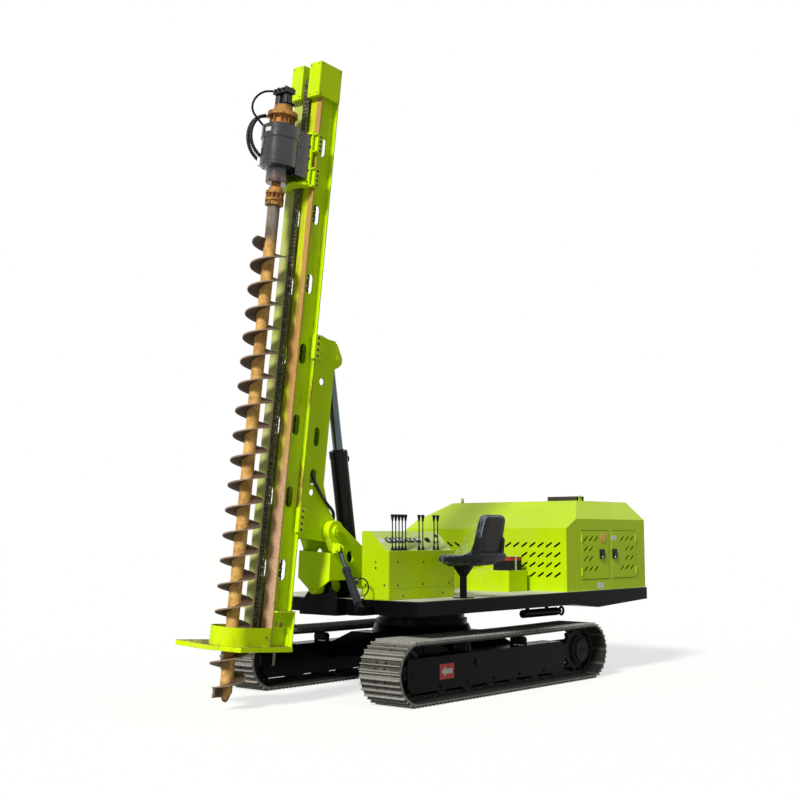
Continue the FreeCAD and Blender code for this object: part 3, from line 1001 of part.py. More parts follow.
# ---------------------------------------------------------------- drive head and auger
def build_head():
    z0, z1 = HEAD_Z
    x, h = HEAD_PLATE_X, MAST_HALF
    shapes = [box(x, x + HEAD_PLATE_T, -h + 10, h - 10, z0, z1)]
    for sign in (1, -1):
        for zone in HEAD_CLAMPS:
            parts = jaws(zone, MAST_FRONT - MAST_PLATE, MAST_FRONT, WEB_Y + 10, 26, CLAMP_T)
            pad_x, tip = MAST_FRONT + GUIDE_GAP, h + GUIDE_GAP + CLAMP_T
            for low in (zone[0], zone[1] - 14):
                parts.append(box(pad_x, x + 5, h - 120, tip, low, low + 14))
            parts.append(box(pad_x, x + 5, h - 60, h - 40, zone[0], zone[1]))
            if sign < 0:
                parts = [mirrored(p) for p in parts]
            shapes += parts
    shapes.append(box(x, x + 35, -h + 40, h - 40, z0 + 60, z1 - 30))
    near = AUGER_X - GEARBOX_NECK_R - 7
    shelf = [(x, -h + 10), (x, h - 10), (x + 60, h - 10), (near, 100), (near, -100), (x + 60, -h + 10)]
    shapes.append(prism_z(shelf, z0, z0 + 14))
    for sign in (1, -1):
        rib = [(x + 10, z0), (x + 150, z0), (x + 10, z0 + 60)]
        lo, hi = span(sign * 150, sign * 164)
        shapes.append(prism_y(rib, lo, hi).cut(cyl_z(z0 + 14, z1, AUGER_X, 0, GEARBOX_R + 2)))
    save("carriage", lean(fuse(shapes)))

    c = V(AUGER_X, 0, 0)
    g0, g1 = GEARBOX_Z
    r = GEARBOX_R
    neck = GEARBOX_NECK_R
    profile = [(0, g0), (neck - 10, g0), (neck, g0 + 10), (neck, g0 + 135), (r - 12, g0 + 155), (r, g0 + 165),
               (r, g1 - 147), (r + 10, g1 - 140), (r + 10, g1 - 15), (r - 10, g1), (0, g1)]
    body = revolve([V(AUGER_X + q, 0, z) for q, z in profile], c, V(0, 0, 1))
    mount_x = HEAD_PLATE_X + 35
    mount = box(mount_x, AUGER_X - 80, -165, 165, z0 + 70, z1 - 40)
    gearbox = fuse([body, mount])

    profile = [(0, g1), (r - 45, g1), (r - 45, g1 + 18), (r - 75, g1 + 25), (r - 75, g1 + 96),
               (r - 32, g1 + 102), (r - 32, g1 + 142), (r - 85, g1 + 150), (r - 90, g1 + 215), (0, g1 + 215)]
    stack = revolve([V(AUGER_X + q, 0, z) for q, z in profile], c, V(0, 0, 1))
    motors = [cyl_z(g1 + 205, g1 + 345, AUGER_X + 10, 50, 42),
              cyl_z(g1 + 205, g1 + 345, AUGER_X + 10, -50, 42),
              box(AUGER_X - 45, AUGER_X + 70, -100, 100, g1 + 335, g1 + 385)]
    motor = fuse([stack] + motors)
    reach = [gearbox, motor]
    save("head_hose", lean(hose([V(*p) for p in HEAD_HOSE], HEAD_HOSE_R).cut(reach)))
    thick = [lean(hose([V(*p) for p in route], HEAD_PRESSURE_R).cut(reach)) for route in HEAD_PRESSURE]
    save("head_pressure_hoses", thick)
    save("gearbox", lean(gearbox))
    save("drive_motor", lean(motor))


def build_auger():
    top = FLIGHT_LOW + FLIGHT_TURNS * AUGER_PITCH
    helix = Part.makeHelix(AUGER_PITCH, FLIGHT_TURNS * AUGER_PITCH, AUGER_R)
    helix.translate(V(AUGER_X, 0, FLIGHT_LOW))
    x_in, x_out = AUGER_X + STEM_R - 4, AUGER_X + AUGER_R
    section = loop([V(x_in, 0, FLIGHT_LOW), V(x_out, 0, FLIGHT_LOW), V(x_out, 0, FLIGHT_LOW + FLIGHT_T),
                    V(x_in, 0, FLIGHT_LOW + FLIGHT_T)])
    flight = Part.Wire(helix.Edges).makePipeShell([section], True, True)
    stem = cyl_z(AUGER_TIP + 90, TUBE_TOP, AUGER_X, 0, STEM_R)
    tip = Part.makeCone(6, STEM_R, 90, V(AUGER_X, 0, AUGER_TIP))
    tooth = prism_z([(STEM_R - 10, -16), (AUGER_R - 8, -14), (AUGER_R - 8, 14), (STEM_R - 10, 16)],
                    FLIGHT_LOW - 70, FLIGHT_LOW + 10)
    tooth.translate(V(AUGER_X, 0, 0))
    tooth.rotate(V(AUGER_X, 0, 0), V(0, 0, 1), 8)
    shapes = [stem, tip, flight, tooth]
    g = TUBE_TOP
    r = COUPLING_R
    profile = [(0, g - 2), (r - 12, g - 2), (r - 12, g + 40), (r, g + 42), (r, g + 66), (60, g + 70),
               (60, g + 110), (r, g + 114), (r, g + 140), (70, g + 145), (66, g + 180), (45, g + 185),
               (45, COUPLING_TOP), (0, COUPLING_TOP)]
    coupling = revolve([V(AUGER_X + q, 0, z) for q, z in profile], V(AUGER_X, 0, 0), V(0, 0, 1))
    save("auger", lean(fuse(shapes + [coupling])))


build_undercarriage()
build_deck()
build_hood()
build_station()
build_bracket()
build_cradle()
build_cylinders()
build_mast()
build_head()
build_auger()
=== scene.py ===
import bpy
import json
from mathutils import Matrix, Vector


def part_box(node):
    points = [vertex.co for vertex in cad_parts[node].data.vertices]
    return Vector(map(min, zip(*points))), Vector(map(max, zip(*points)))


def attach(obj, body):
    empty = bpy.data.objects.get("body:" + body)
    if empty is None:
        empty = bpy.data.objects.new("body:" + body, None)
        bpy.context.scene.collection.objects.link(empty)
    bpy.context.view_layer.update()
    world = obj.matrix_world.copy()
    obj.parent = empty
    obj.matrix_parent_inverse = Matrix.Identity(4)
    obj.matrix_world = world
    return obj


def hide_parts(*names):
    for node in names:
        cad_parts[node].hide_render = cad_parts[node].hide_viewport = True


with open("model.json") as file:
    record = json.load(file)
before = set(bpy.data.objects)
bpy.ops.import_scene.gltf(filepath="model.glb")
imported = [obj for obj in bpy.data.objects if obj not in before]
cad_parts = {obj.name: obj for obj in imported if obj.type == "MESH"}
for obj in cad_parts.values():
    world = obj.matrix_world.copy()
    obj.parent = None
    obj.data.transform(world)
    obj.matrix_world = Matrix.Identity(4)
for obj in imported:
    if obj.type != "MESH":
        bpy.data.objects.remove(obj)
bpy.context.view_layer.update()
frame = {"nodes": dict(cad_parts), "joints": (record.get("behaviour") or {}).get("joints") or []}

import json
import math

import bmesh
import bpy
import numpy as np
from mathutils import Matrix, Vector

NODES = frame["nodes"]
JOINTS = {joint["name"]: joint for joint in frame["joints"]}
SIDES = ((1, "left"), (-1, "right"))
scene = bpy.context.scene
V = Vector
X = V((1, 0, 0))
Y = V((0, 1, 0))
Z = V((0, 0, 1))


# ---------------------------------------------------------------- frames that the pieces are drawn in
class Frame:
    """An origin and three axes. Local metres become world metres."""

    def __init__(self, origin, x, y, z):
        self.origin = V(origin)
        self.axes = Matrix((x, y, z)).transposed()

    def world(self, point):
        return self.origin + self.axes @ V(point)


def joint_axis(name):
    return V(JOINTS[name]["axis"]).normalized()


LUFF_X = 1.645                  # luff pivot, forward of the slew axis
LUFF_Z = 1.655                  # and up the tilted bracket
RAM_X = 1.155                   # foot pin of the luff cylinder, in the same frame
RAM_Z = 1.180
AUGER_X = 2.700                 # auger axis, in the upright mast's frame
CHAIN_X = 2.285                 # feed chain's middle
REAR_FLANGE = 2.154             # inner faces of the mast's flanges
FRONT_FLANGE = 2.367
MOTOR_Z = 5.735                 # drive motors stand on their hub here
END_X = 1.539                   # sprocket and idler axes, each way from the slew axis
COUPLING_FOOT = 4.792           # heights up the mast: the coupling's studs
GEARBOX_FOOT = 5.0955           # the gearbox's lower and upper flange faces
GEARBOX_TOP = 5.5201
STACK_LOW = 5.537               # the lower and upper plates between gearbox and motors
STACK_HIGH = 5.661
CROWN_ROWS = (5.943, 6.245)     # the crown's two rows of bolts
FEED_MOTOR_Z = 6.000            # the feed motor's axis

UP = joint_axis("mast_slide")
SIDE = joint_axis("mast_luff")
FWD = SIDE.cross(UP).normalized()
BRACKET_UP = X.cross(SIDE)
TILT_UP = joint_axis("tilt_rod_stroke")
RAM_UP = joint_axis("luff_rod_stroke")
WORLD = Frame((0, 0, 0), X, Y, Z)
MAST = Frame(V(JOINTS["mast_luff"]["pos_m"]) - FWD * LUFF_X - UP * LUFF_Z, FWD, SIDE, UP)
BRACKET = Frame((Z - BRACKET_UP) * JOINTS["side_tilt"]["pos_m"][2], X, SIDE, BRACKET_UP)
TILT_RAM = Frame((1.650, 0.583, 0.892), X, V((0, TILT_UP.z, -TILT_UP.y)), TILT_UP)
LUFF_RAM = Frame(BRACKET.world((RAM_X, 0, RAM_Z)), SIDE.cross(RAM_UP), SIDE, RAM_UP)


# ---------------------------------------------------------------- how a material is written
class Field:
    """A value that varies over a surface. It adds and multiplies like a number."""

    def __init__(self, look, socket):
        self.look = look
        self.socket = socket

    def __add__(self, other):
        return self.look.math("ADD", self, other)

    def __sub__(self, other):
        return self.look.math("SUBTRACT", self, other)

    def __rsub__(self, other):
        return self.look.math("SUBTRACT", other, self)

    def __mul__(self, other):
        return self.look.math("MULTIPLY", self, other)

    __radd__ = __add__
    __rmul__ = __mul__


class Look:
    """One procedural Principled material, drawn in object space."""

    def __init__(self, name, metallic=0.0, coat=0.0, coat_roughness=0.1, specular=0.5):
        self.mat = bpy.data.materials.new(name)
        self.mat.use_nodes = True
        self.tree = self.mat.node_tree
        self.tree.nodes.clear()
        out = self.tree.nodes.new("ShaderNodeOutputMaterial")
        self.bsdf = self.tree.nodes.new("ShaderNodeBsdfPrincipled")
        self.tree.links.new(self.bsdf.outputs[0], out.inputs[0])
        for key, value in (("Metallic", metallic), ("Coat Weight", coat),
                           ("Coat Roughness", coat_roughness), ("Specular IOR Level", specular)):
            self.bsdf.inputs[key].default_value = value
        self.at = self.node("TexCoord", out="Object")
        self.normal = self.node("NewGeometry", out="Normal")

    def put(self, socket, value):
        """Sets a socket to a fixed value, or links a varying one."""
        if isinstance(value, Field):
            self.tree.links.new(value.socket, socket)
        elif socket.type == "RGBA":
            socket.default_value = (*value, 1.0)
        else:
            socket.default_value = value

    def node(self, kind, *values, out=0, named=(), **settings):
        """One shader node with its settings and inputs, as the value that it gives."""
        node = self.tree.nodes.new("ShaderNode" + kind)
        for key, value in settings.items():
            setattr(node, key, value)
        for key, value in (*enumerate(values), *dict(named).items()):
            self.put(node.inputs[key], value)
        return Field(self, node.outputs[out])

    def math(self, op, a, b=0.0, clamp=False):
        return self.node("Math", a, b, operation=op, use_clamp=clamp)

    def most(self, a, b):
        """The greater of two values."""
        return self.math("MAXIMUM", a, b)

    def mix(self, factor, a, b):
        return self.node("MixRGB", factor, a, b)

    def step(self, value, low, high):
        """0 below low and 1 above high, with a smooth change between."""
        return self.node("MapRange", value, low, high, interpolation_type="SMOOTHSTEP")

    def line(self, value, low, high, to_low=0.0, to_high=1.0):
        """Straight change from one value to another."""
        return self.node("MapRange", value, low, high, to_low, to_high, interpolation_type="LINEAR")

    def dot(self, a, b):
        return self.node("VectorMath", a, b, out=1, operation="DOT_PRODUCT")

    def along(self, axis, origin=(0, 0, 0)):
        """Distance along an axis from a point."""
        return self.dot(self.at, tuple(axis)) - float(V(axis).dot(V(origin)))

    def mast_axes(self):
        """Distances forward, left and up in the upright mast's frame."""
        return [self.along(axis, MAST.origin) for axis in (FWD, SIDE, UP)]

    def facing(self, axis):
        """1 where the surface faces along an axis, -1 where it faces the other way."""
        return self.dot(self.normal, tuple(axis))

    def stretched(self, scale, seed):
        """The place on the surface, scaled per axis and moved by a seed."""
        point = self.node("VectorMath", self.at, scale, operation="MULTIPLY")
        return self.node("VectorMath", point, (seed, seed * 1.7, seed * 0.6), operation="ADD")

    def noise(self, scale, detail=4.0, rough=0.55, stretch=(1, 1, 1), seed=0.0, distort=0.0):
        return self.node("TexNoise", named={"Vector": self.stretched(stretch, seed), "Scale": scale,
                                            "Detail": detail, "Roughness": rough, "Distortion": distort})

    def spots(self, low, high, *noise, **more):
        """Noise sharpened to patches between two thresholds."""
        return self.step(self.noise(*noise, **more), low, high)

    def drift(self, low, high, *noise, **more):
        """Noise spread evenly between two values."""
        return self.line(self.noise(*noise, **more), 0.3, 0.7, low, high)

    def rounded(self, radius):
        """Normals that round off sharp edges."""
        return self.node("Bevel", radius, samples=4)

    def edges(self, radius):
        """1 on sharp outer and inner edges, 0 on flats."""
        return self.step(self.dot(self.rounded(radius), self.normal), 0.985, 0.8)

    def bump(self, height, strength, distance, round_edges=None):
        base = {"Normal": self.rounded(round_edges)} if round_edges else {}
        return self.node("Bump", strength, distance, named={"Height": height, **base})

    def set(self, color, roughness, normal):
        self.put(self.bsdf.inputs["Base Color"], color)
        self.put(self.bsdf.inputs["Roughness"], roughness)
        self.put(self.bsdf.inputs["Normal"], normal)
        return self.mat


def scaled(color, share):
    return tuple(c * share for c in color)


# ---------------------------------------------------------------- paints and steels
LIME = (0.495, 0.700, 0.003)
BLACK = (0.0028, 0.0030, 0.0036)
RUST_ORANGE = (0.40, 0.17, 0.045)
RUST_DARK = (0.10, 0.045, 0.022)
DUST = (0.42, 0.37, 0.26)


def lime(name, wear=0.2, rust=0.0, dust=0.15, gloss=0.30, tone=(1.0, 1.0, 1.0), extra=None):
    """Lime enamel with orange peel, dust, chips on its edges and, where asked, rust."""
    look = Look(name, coat=0.02, coat_roughness=0.2, specular=0.07)
    base = [c * t for c, t in zip(LIME, tone)]
    color = look.mix(look.drift(0, 1, 0.9, 3, 0.5, seed=2), scaled(base, 0.93), scaled(base, 1.05))
    streak = look.spots(0.52, 0.80, 9, 5, 0.6, stretch=(1, 1, 0.09), seed=5)
    color = look.mix(streak * (0.16 + dust * 0.8), color, scaled(base, 0.55))
    film = look.spots(0.45, 0.75, 2.3, 6, 0.62, seed=11) * dust
    color = look.mix(film, color, DUST)
    rough = look.drift(gloss - 0.05, gloss + 0.10, 30, 4, 0.6, seed=1) + film * 0.35
    height = look.noise(240, 2, 0.4) * 0.35

    scratch = look.spots(0.665, 0.70, 38, 7, 0.72, stretch=(1, 1, 0.35), seed=21)
    color = look.mix(scratch * (wear * 0.6), color, (0.20, 0.22, 0.10))
    chip = look.edges(0.007) * look.spots(0.50, 0.60, 55, 6, 0.7, seed=31) * min(1.0, wear * 2.2)
    color = look.mix(chip, color, look.mix(look.noise(20, 3, seed=8), RUST_DARK, (0.19, 0.16, 0.10)))
    rough = look.most(rough, chip * 0.75)
    height = height - chip
    if rust:
        field = look.noise(5.5, 8, 0.68, stretch=(1, 1, 0.45), seed=40) + rust * 0.12
        spots = look.step(field, 0.60, 0.70) * min(1.0, rust * 1.5)
        color = look.mix(spots, color, look.mix(look.noise(60, 4, seed=44), RUST_ORANGE, RUST_DARK))
        rough = look.most(rough, spots * 0.85)
        height = height + spots * look.noise(150, 4)
    if extra:
        color, rough, height = extra(look, color, rough, height)
    return look.set(color, rough, look.bump(height, 0.10, 0.0010, 0.0035))


def enamel(name, color, gloss=0.28, dust=0.12, wear=0.3, coat=0.05):
    """Black or dark enamel with dust lying on its upper faces."""
    look = Look(name, coat=coat, coat_roughness=0.12, specular=0.035)
    tone = look.mix(look.drift(0, 1, 3, 4, seed=6), scaled(color, 0.7), scaled(color, 1.5))
    lying = look.line(look.facing(Z), 0.2, 0.95, 0.25, 1.0)
    film = look.spots(0.38, 0.74, 3.1, 7, 0.66, seed=17) * lying * dust
    tone = look.mix(film, tone, (0.10, 0.085, 0.065))
    worn = look.edges(0.006) * look.spots(0.48, 0.62, 40, 6, 0.7, seed=9) * wear
    tone = look.mix(worn, tone, (0.12, 0.10, 0.08))
    rough = look.drift(gloss - 0.05, gloss + 0.12, 26, 5, 0.6, seed=4)
    rough = look.math("ADD", rough, (film + worn) * 0.5, clamp=True)
    return look.set(tone, rough, look.bump(look.noise(190, 2) * 0.4 + film, 0.20, 0.001, 0.0035))


def rusty(name, tint=RUST_ORANGE, dark=RUST_DARK, worn=0.25, scale=1.0, grain=0.5):
    """Steel under surface rust, brighter where it rubs."""
    look = Look(name, specular=0.3)
    fine = look.noise(46 * scale, 6, 0.7, seed=12)
    color = look.mix(look.spots(0.36, 0.66, 7 * scale, 7, 0.66, seed=3), dark, tint)
    color = look.mix(look.step(fine, 0.45, 0.72) * 0.55, color, scaled(tint, 1.45))
    rub = look.edges(0.008) * look.spots(0.40, 0.60, 18, 5, seed=7) * worn
    color = look.mix(rub, color, (0.36, 0.31, 0.26))
    rough = look.line(fine, 0.3, 0.7, 0.62, 0.92) - rub * 0.35
    height = fine * 0.7 + look.noise(160 * scale, 5, 0.7)
    return look.set(color, rough, look.bump(height, grain, 0.0016, 0.003))


def plain(name, color, rough=0.4, metallic=0.0, grain=320, vary=0.12, strength=0.12, coat=0.0, specular=0.3):
    """Small fittings: one colour with its own grain, smudges and worn corners."""
    look = Look(name, metallic=metallic, coat=coat, specular=specular)
    tone = look.mix(look.drift(0, 1, 14, 5, 0.6, seed=2), scaled(color, 1 - vary), scaled(color, 1 + vary))
    smudged = tuple(0.4 * c + 0.03 for c in color)
    tone = look.mix(look.spots(0.56, 0.78, 33, 6, 0.65, seed=8) * 0.30, tone, smudged)
    sheen = look.drift(max(0.04, rough - 0.07), rough + 0.10, 60, 4, seed=5)
    return look.set(tone, sheen, look.bump(look.noise(grain, 3, 0.5), strength, 0.0006, 0.0015))


# ---------------------------------------------------------------- finishes of single parts
def hood_lime():
    """Clean hood enamel, near-black behind its front, sides and roof as painted shade inside the hood."""
    half = 1.168
    front = -1.134
    top = 1.675

    def over(look, color, rough, height):
        # painted shade: the box behind the front, within the sides and below the roof turns near-black,
        # standing for the shade inside the hood
        inside = look.step(look.math("ABSOLUTE", look.along(Y)), half + 0.001, half)
        inside = inside * look.step(look.along(X), front + 0.001, front)
        inside = inside * look.step(look.along(Z), top + 0.002, top)
        return look.mix(inside, color, (0.012, 0.013, 0.010)), rough, height
    return lime("hood_lime", wear=0.12, dust=0.08, gloss=0.26, extra=over)


def console_lime():
    """Console enamel with a pale film on its sloping panel: partly dust, partly painted light on the faces
    turned up.
    """
    def over(look, color, rough, height):
        lying = look.step(look.facing(Z), 0.45, 0.75)
        # partly dust and partly painted light: faces turned up are mixed towards pale lime, lighter where
        # the light falls on top
        film = look.drift(0.30, 0.62, 9, 5, 0.6, seed=33) * lying
        return look.mix(film, color, (0.72, 0.80, 0.46)), rough, height
    return lime("console_lime", wear=0.18, dust=0.10, gloss=0.28, tone=(0.98, 0.98, 1.0), extra=over)


def mast_lime():
    """Mast column: sound lime webs, darkened towards the front flange as painted shade, a worn grey-green
    far flange, and a near flange with a warm tint of painted sunlight, rusting from the foot up.
    """
    def over(look, color, rough, height):
        x, y, z = look.mast_axes()
        grain = look.noise(6.5, 9, 0.70, stretch=(1, 1, 0.22), seed=60)
        fine = look.noise(48, 6, 0.7, seed=61)
        front = look.step(x, FRONT_FLANGE - 0.0015, FRONT_FLANGE + 0.0015)
        rear = 1.0 - look.step(x, REAR_FLANGE - 0.0015, REAR_FLANGE + 0.0020)
        near = look.step(y, -0.03, 0.03)
        # painted light: the near front flange is given a warm tint that stands for sunlight on its face
        painted_sunlit_yellow = look.mix(look.step(grain, 0.40, 0.62), (0.70, 0.66, 0.015), (0.56, 0.66, 0.012))
        color = look.mix(front * near * 0.75, color, painted_sunlit_yellow)
        rust = look.mix(look.step(z, 1.4, 3.2), (0.66, 0.42, 0.25), (0.60, 0.34, 0.10))
        rust = look.mix(look.step(fine, 0.30, 0.55), (0.40, 0.22, 0.10), rust)
        bare = grain + look.line(z, 0.6, 5.2, 0.34, 0.02) + look.step(y, 0.118, 0.140) * 0.20
        bare = look.step(bare, 0.60, 0.72) * front * near
        color = look.mix(bare, color, rust)
        far = front * (1.0 - near)
        worn = look.mix(look.step(grain, 0.42, 0.60), (0.50, 0.53, 0.16), (0.54, 0.48, 0.27))
        color = look.mix(far * look.line(z, 0.5, 5.9, 0.95, 0.72), color, worn)
        slid = look.step(z, 1.45, 1.9) * (1.0 - look.step(z, 3.2, 3.9))
        rubbed = look.step(grain + slid * 0.10, 0.60, 0.72) * rear * 0.9
        color = look.mix(rubbed, color, look.mix(fine, RUST_DARK, RUST_ORANGE))
        web = (1.0 - front) * (1.0 - rear)
        # painted shade: the webs darken in patches towards the front flange, standing for the flange's shade
        # on them
        painted_web_shade = web * look.step(grain + look.line(x, 2.20, 2.37, -0.06, 0.07), 0.50, 0.72)
        color = look.mix(painted_web_shade * 0.26, color, (0.10, 0.13, 0.02))
        # painted shadow: a dark green band along the webs beside the front flange, standing for the shadow
        # it casts
        strip = web * look.step(x + look.line(grain, 0.3, 0.7, -0.012, 0.012), 2.300, 2.345)
        color = look.mix(strip * 0.48, color, (0.105, 0.190, 0.006))
        mask = look.most(bare, look.most(rubbed, far * 0.6))
        return color, look.most(rough, mask * 0.82), height + mask * fine
    return lime("mast_lime", wear=0.45, rust=0.20, dust=0.12, tone=(1.45, 1.38, 1.0), extra=over)


def foot_lime():
    """Foot plate with dried soil on its top, and a bare steel spike below."""
    spike_top = 0.478

    def over(look, color, rough, height):
        z = look.along(UP, MAST.origin)
        top = look.step(look.facing(UP), 0.55, 0.9)
        mud = look.noise(5.5, 8, 0.68, seed=70) + top * 0.20 + look.line(z, 0.62, 0.50, -0.08, 0.02)
        mud = look.step(mud, 0.58, 0.72)
        soil = look.mix(look.noise(40, 6, 0.7, seed=71), (0.085, 0.055, 0.035), (0.27, 0.17, 0.10))
        color = look.mix(mud * 0.92, color, soil)
        steel = look.mix(look.noise(30, 5, seed=72), (0.20, 0.19, 0.17), (0.34, 0.34, 0.32))
        color = look.mix(look.step(z, spike_top, spike_top - 0.004), color, steel)
        return color, look.most(rough, mud * 0.92), height + mud * look.noise(60, 7, 0.7) * 2.5
    return lime("foot_lime", wear=0.5, rust=0.10, dust=0.15, tone=(1.45, 1.34, 1.0), extra=over)


def auger_steel():
    """Rusty stem, dark flights with scoured rims, grey-brown tube and orange coupling."""
    look = Look("auger_steel", specular=0.35)
    x, y, z = look.mast_axes()
    across = x - AUGER_X
    r = look.math("SQRT", across * across + y * y)
    coarse = look.noise(9, 7, 0.68, seed=3)
    fine = look.noise(55, 6, 0.7, seed=5)
    stem = look.mix(look.step(coarse, 0.36, 0.64), (0.52, 0.26, 0.065), (0.94, 0.56, 0.160))
    stem = look.mix(look.step(fine, 0.5, 0.7) * 0.5, stem, (0.10, 0.05, 0.025))
    blade = look.mix(look.step(coarse, 0.35, 0.65), (0.032, 0.017, 0.008), (0.100, 0.050, 0.022))
    blade = look.mix(look.step(fine, 0.46, 0.7) * 0.5, blade, (0.17, 0.092, 0.048))
    rim = look.step(r + look.line(fine, 0.3, 0.7, -0.004, 0.004), 0.163, 0.1735)
    blade = look.mix(rim * 0.75, blade, (0.40, 0.27, 0.18))
    color = look.mix(look.step(r, 0.0605, 0.064), stem, blade)
    tube = look.step(z, 4.30, 4.44) * (1.0 - look.step(z, 4.725, 4.732))
    grey = look.mix(look.spots(0.4, 0.65, 14, 6, 0.6, stretch=(1, 1, 0.3), seed=9),
                    (0.26, 0.215, 0.175), (0.13, 0.085, 0.055))
    color = look.mix(tube, color, grey)
    orange = look.mix(look.step(coarse, 0.4, 0.62), (0.24, 0.105, 0.03), (0.66, 0.32, 0.07))
    color = look.mix(look.step(z, 4.726, 4.731), color, orange)
    mud = look.step(z, 0.95, 0.25) * look.spots(0.40, 0.62, 12, 6, seed=14)
    color = look.mix(mud * 0.6, color, (0.16, 0.10, 0.065))
    rough = look.line(fine, 0.3, 0.7, 0.55, 0.88) - rim * 0.22
    return look.set(color, rough, look.bump(fine * 0.8 + look.noise(170, 5, 0.7), 0.5, 0.0018, 0.004))


def track_steel():
    """Pale scoured grousers and shoe ends, dusty dark plates between them, near-black inside the loop."""
    look = Look("track_steel", specular=0.25)
    coarse = look.noise(5, 7, 0.66, seed=3)
    fine = look.noise(60, 6, 0.7, seed=5)
    past = look.most(look.math("ABSOLUTE", look.along(X)) - END_X, 0.0)
    rise = look.along(Z) - 0.309
    reach = look.math("SQRT", past * past + rise * rise)
    color = look.mix(look.step(coarse, 0.36, 0.66), (0.038, 0.035, 0.031), (0.080, 0.073, 0.064))
    color = look.mix(look.step(fine, 0.48, 0.74) * 0.35, color, (0.16, 0.13, 0.10))
    packed = look.spots(0.56, 0.70, 10, 7, 0.7, stretch=(1, 0.5, 1), seed=9)
    color = look.mix(packed * 0.5, color, (0.200, 0.165, 0.125))
    pale = look.mix(look.step(fine, 0.35, 0.70), (0.40, 0.39, 0.37), (0.19, 0.175, 0.155))
    ends = look.step(look.math("ABSOLUTE", look.facing(Y)), 0.6, 0.8) * look.step(reach, 0.268, 0.274) * 0.65
    tops = look.step(reach, 0.288, 0.297) * 0.92
    color = look.mix(look.most(tops, ends), color, pale)
    inside = look.step(reach, 0.2745, 0.2700)
    color = look.mix(inside, color, (0.016, 0.015, 0.014))
    rub = look.edges(0.006) * look.spots(0.36, 0.56, 30, 5, seed=7) * (1.0 - inside)
    color = look.mix(rub * 0.6, color, (0.40, 0.38, 0.34))
    rough = look.line(fine, 0.3, 0.7, 0.50, 0.85) - rub * 0.25
    return look.set(color, rough, look.bump(fine * 0.8 + packed * look.noise(90, 5), 0.5, 0.0018, 0.003))


def chequer():
    """Worn grey deck plate: raised lozenges in two directions."""
    look = Look("chequer_deck", specular=0.35)
    pitch = 34.0
    past_zero = 4000.0
    a = look.node("SeparateXYZ", look.at)
    b = Field(look, a.socket.node.outputs[1]) * pitch
    a = a * pitch
    turn = look.math("MODULO", look.math("FLOOR", a) + (look.math("FLOOR", b) + past_zero), 2.0)
    fa = look.math("FRACT", a + past_zero) - 0.5
    fb = look.math("FRACT", b + past_zero) - 0.5
    long = (fa * turn + fb * (1.0 - turn)) * 2.35
    short = (fb * turn + fa * (1.0 - turn)) * 7.5
    bar = look.step(long * long + short * short, 1.0, 0.45)
    fine = look.noise(50, 5, 0.7, seed=5)
    worn = look.spots(0.34, 0.68, 1.7, 7, 0.62, seed=3)
    color = look.mix(worn, (0.430, 0.420, 0.320), (0.690, 0.680, 0.540))
    color = look.mix(look.step(fine, 0.5, 0.75) * 0.4, color, (0.21, 0.155, 0.10))
    color = look.mix(bar * 0.45, color, (0.66, 0.65, 0.58))
    edge = 1.0 - look.step(look.facing(Z), 0.5, 0.8)
    color = look.mix(edge, color, (0.030, 0.030, 0.030))
    rough = look.line(fine, 0.3, 0.7, 0.42, 0.75)
    return look.set(color, rough, look.bump(bar + fine * 0.15, 0.6, 0.0025))


def rod_chrome():
    look = Look("rod_chrome", metallic=1.0)
    smear = look.noise(11, 5, 0.6, stretch=(1, 1, 0.15), seed=3)
    # painted reflection: the metal colour is dark and bluish, standing for the surroundings the rod
    # reflects, darker in smears
    color = look.mix(look.step(smear, 0.45, 0.75), (0.085, 0.112, 0.125), (0.050, 0.056, 0.064))
    rough = look.line(smear, 0.3, 0.7, 0.10, 0.26)
    return look.set(color, rough, look.bump(look.noise(300, 2), 0.04, 0.0003))


def gear_paint():
    """Dark gearbox enamel with a purple-brown mount behind it."""
    look = Look("gear_paint", coat=0.55, coat_roughness=0.10, specular=0.45)
    x = look.along(FWD, MAST.origin)
    z = look.along(UP, MAST.origin)
    color = look.mix(look.drift(0, 1, 6, 5, seed=3), (0.004, 0.005, 0.008), (0.012, 0.015, 0.021))
    mount = look.mix(look.spots(0.4, 0.6, 12, 6, 0.7, seed=8), (0.105, 0.060, 0.062), (0.055, 0.036, 0.034))
    color = look.mix(look.step(x, 2.520, 2.512), color, mount)
    foot = look.step(z, 5.06, 4.98) * look.spots(0.35, 0.6, 20, 6, seed=5)
    color = look.mix(foot * 0.7, color, (0.20, 0.10, 0.045))
    scuff = look.edges(0.006) * look.spots(0.45, 0.6, 30, 6, seed=12)
    color = look.mix(scuff * 0.5, color, (0.20, 0.17, 0.14))
    rough = look.drift(0.20, 0.36, 22, 5, 0.6, seed=4)
    return look.set(color, rough, look.bump(look.noise(170, 3), 0.16, 0.0010, 0.004))


def head_motor():
    """Rust-orange flange stack below, black motors above."""
    look = Look("head_motor", specular=0.4)
    z = look.along(UP, MAST.origin)
    coarse = look.noise(11, 7, 0.68, seed=3)
    fine = look.noise(60, 6, 0.7, seed=5)
    orange = look.mix(look.step(coarse, 0.38, 0.62), (0.20, 0.085, 0.03), (0.62, 0.29, 0.06))
    black = look.mix(look.line(coarse, 0.3, 0.7), (0.009, 0.009, 0.010), (0.032, 0.032, 0.033))
    top = look.step(z, MOTOR_Z - 0.002, MOTOR_Z + 0.002)
    color = look.mix(look.step(fine, 0.5, 0.75) * 0.35, look.mix(top, orange, black), (0.22, 0.15, 0.09))
    rough = look.line(fine, 0.3, 0.7, 0.6, 0.9) - top * 0.28
    return look.set(color, rough, look.bump(fine + look.noise(160, 4), 0.4, 0.0014, 0.003))


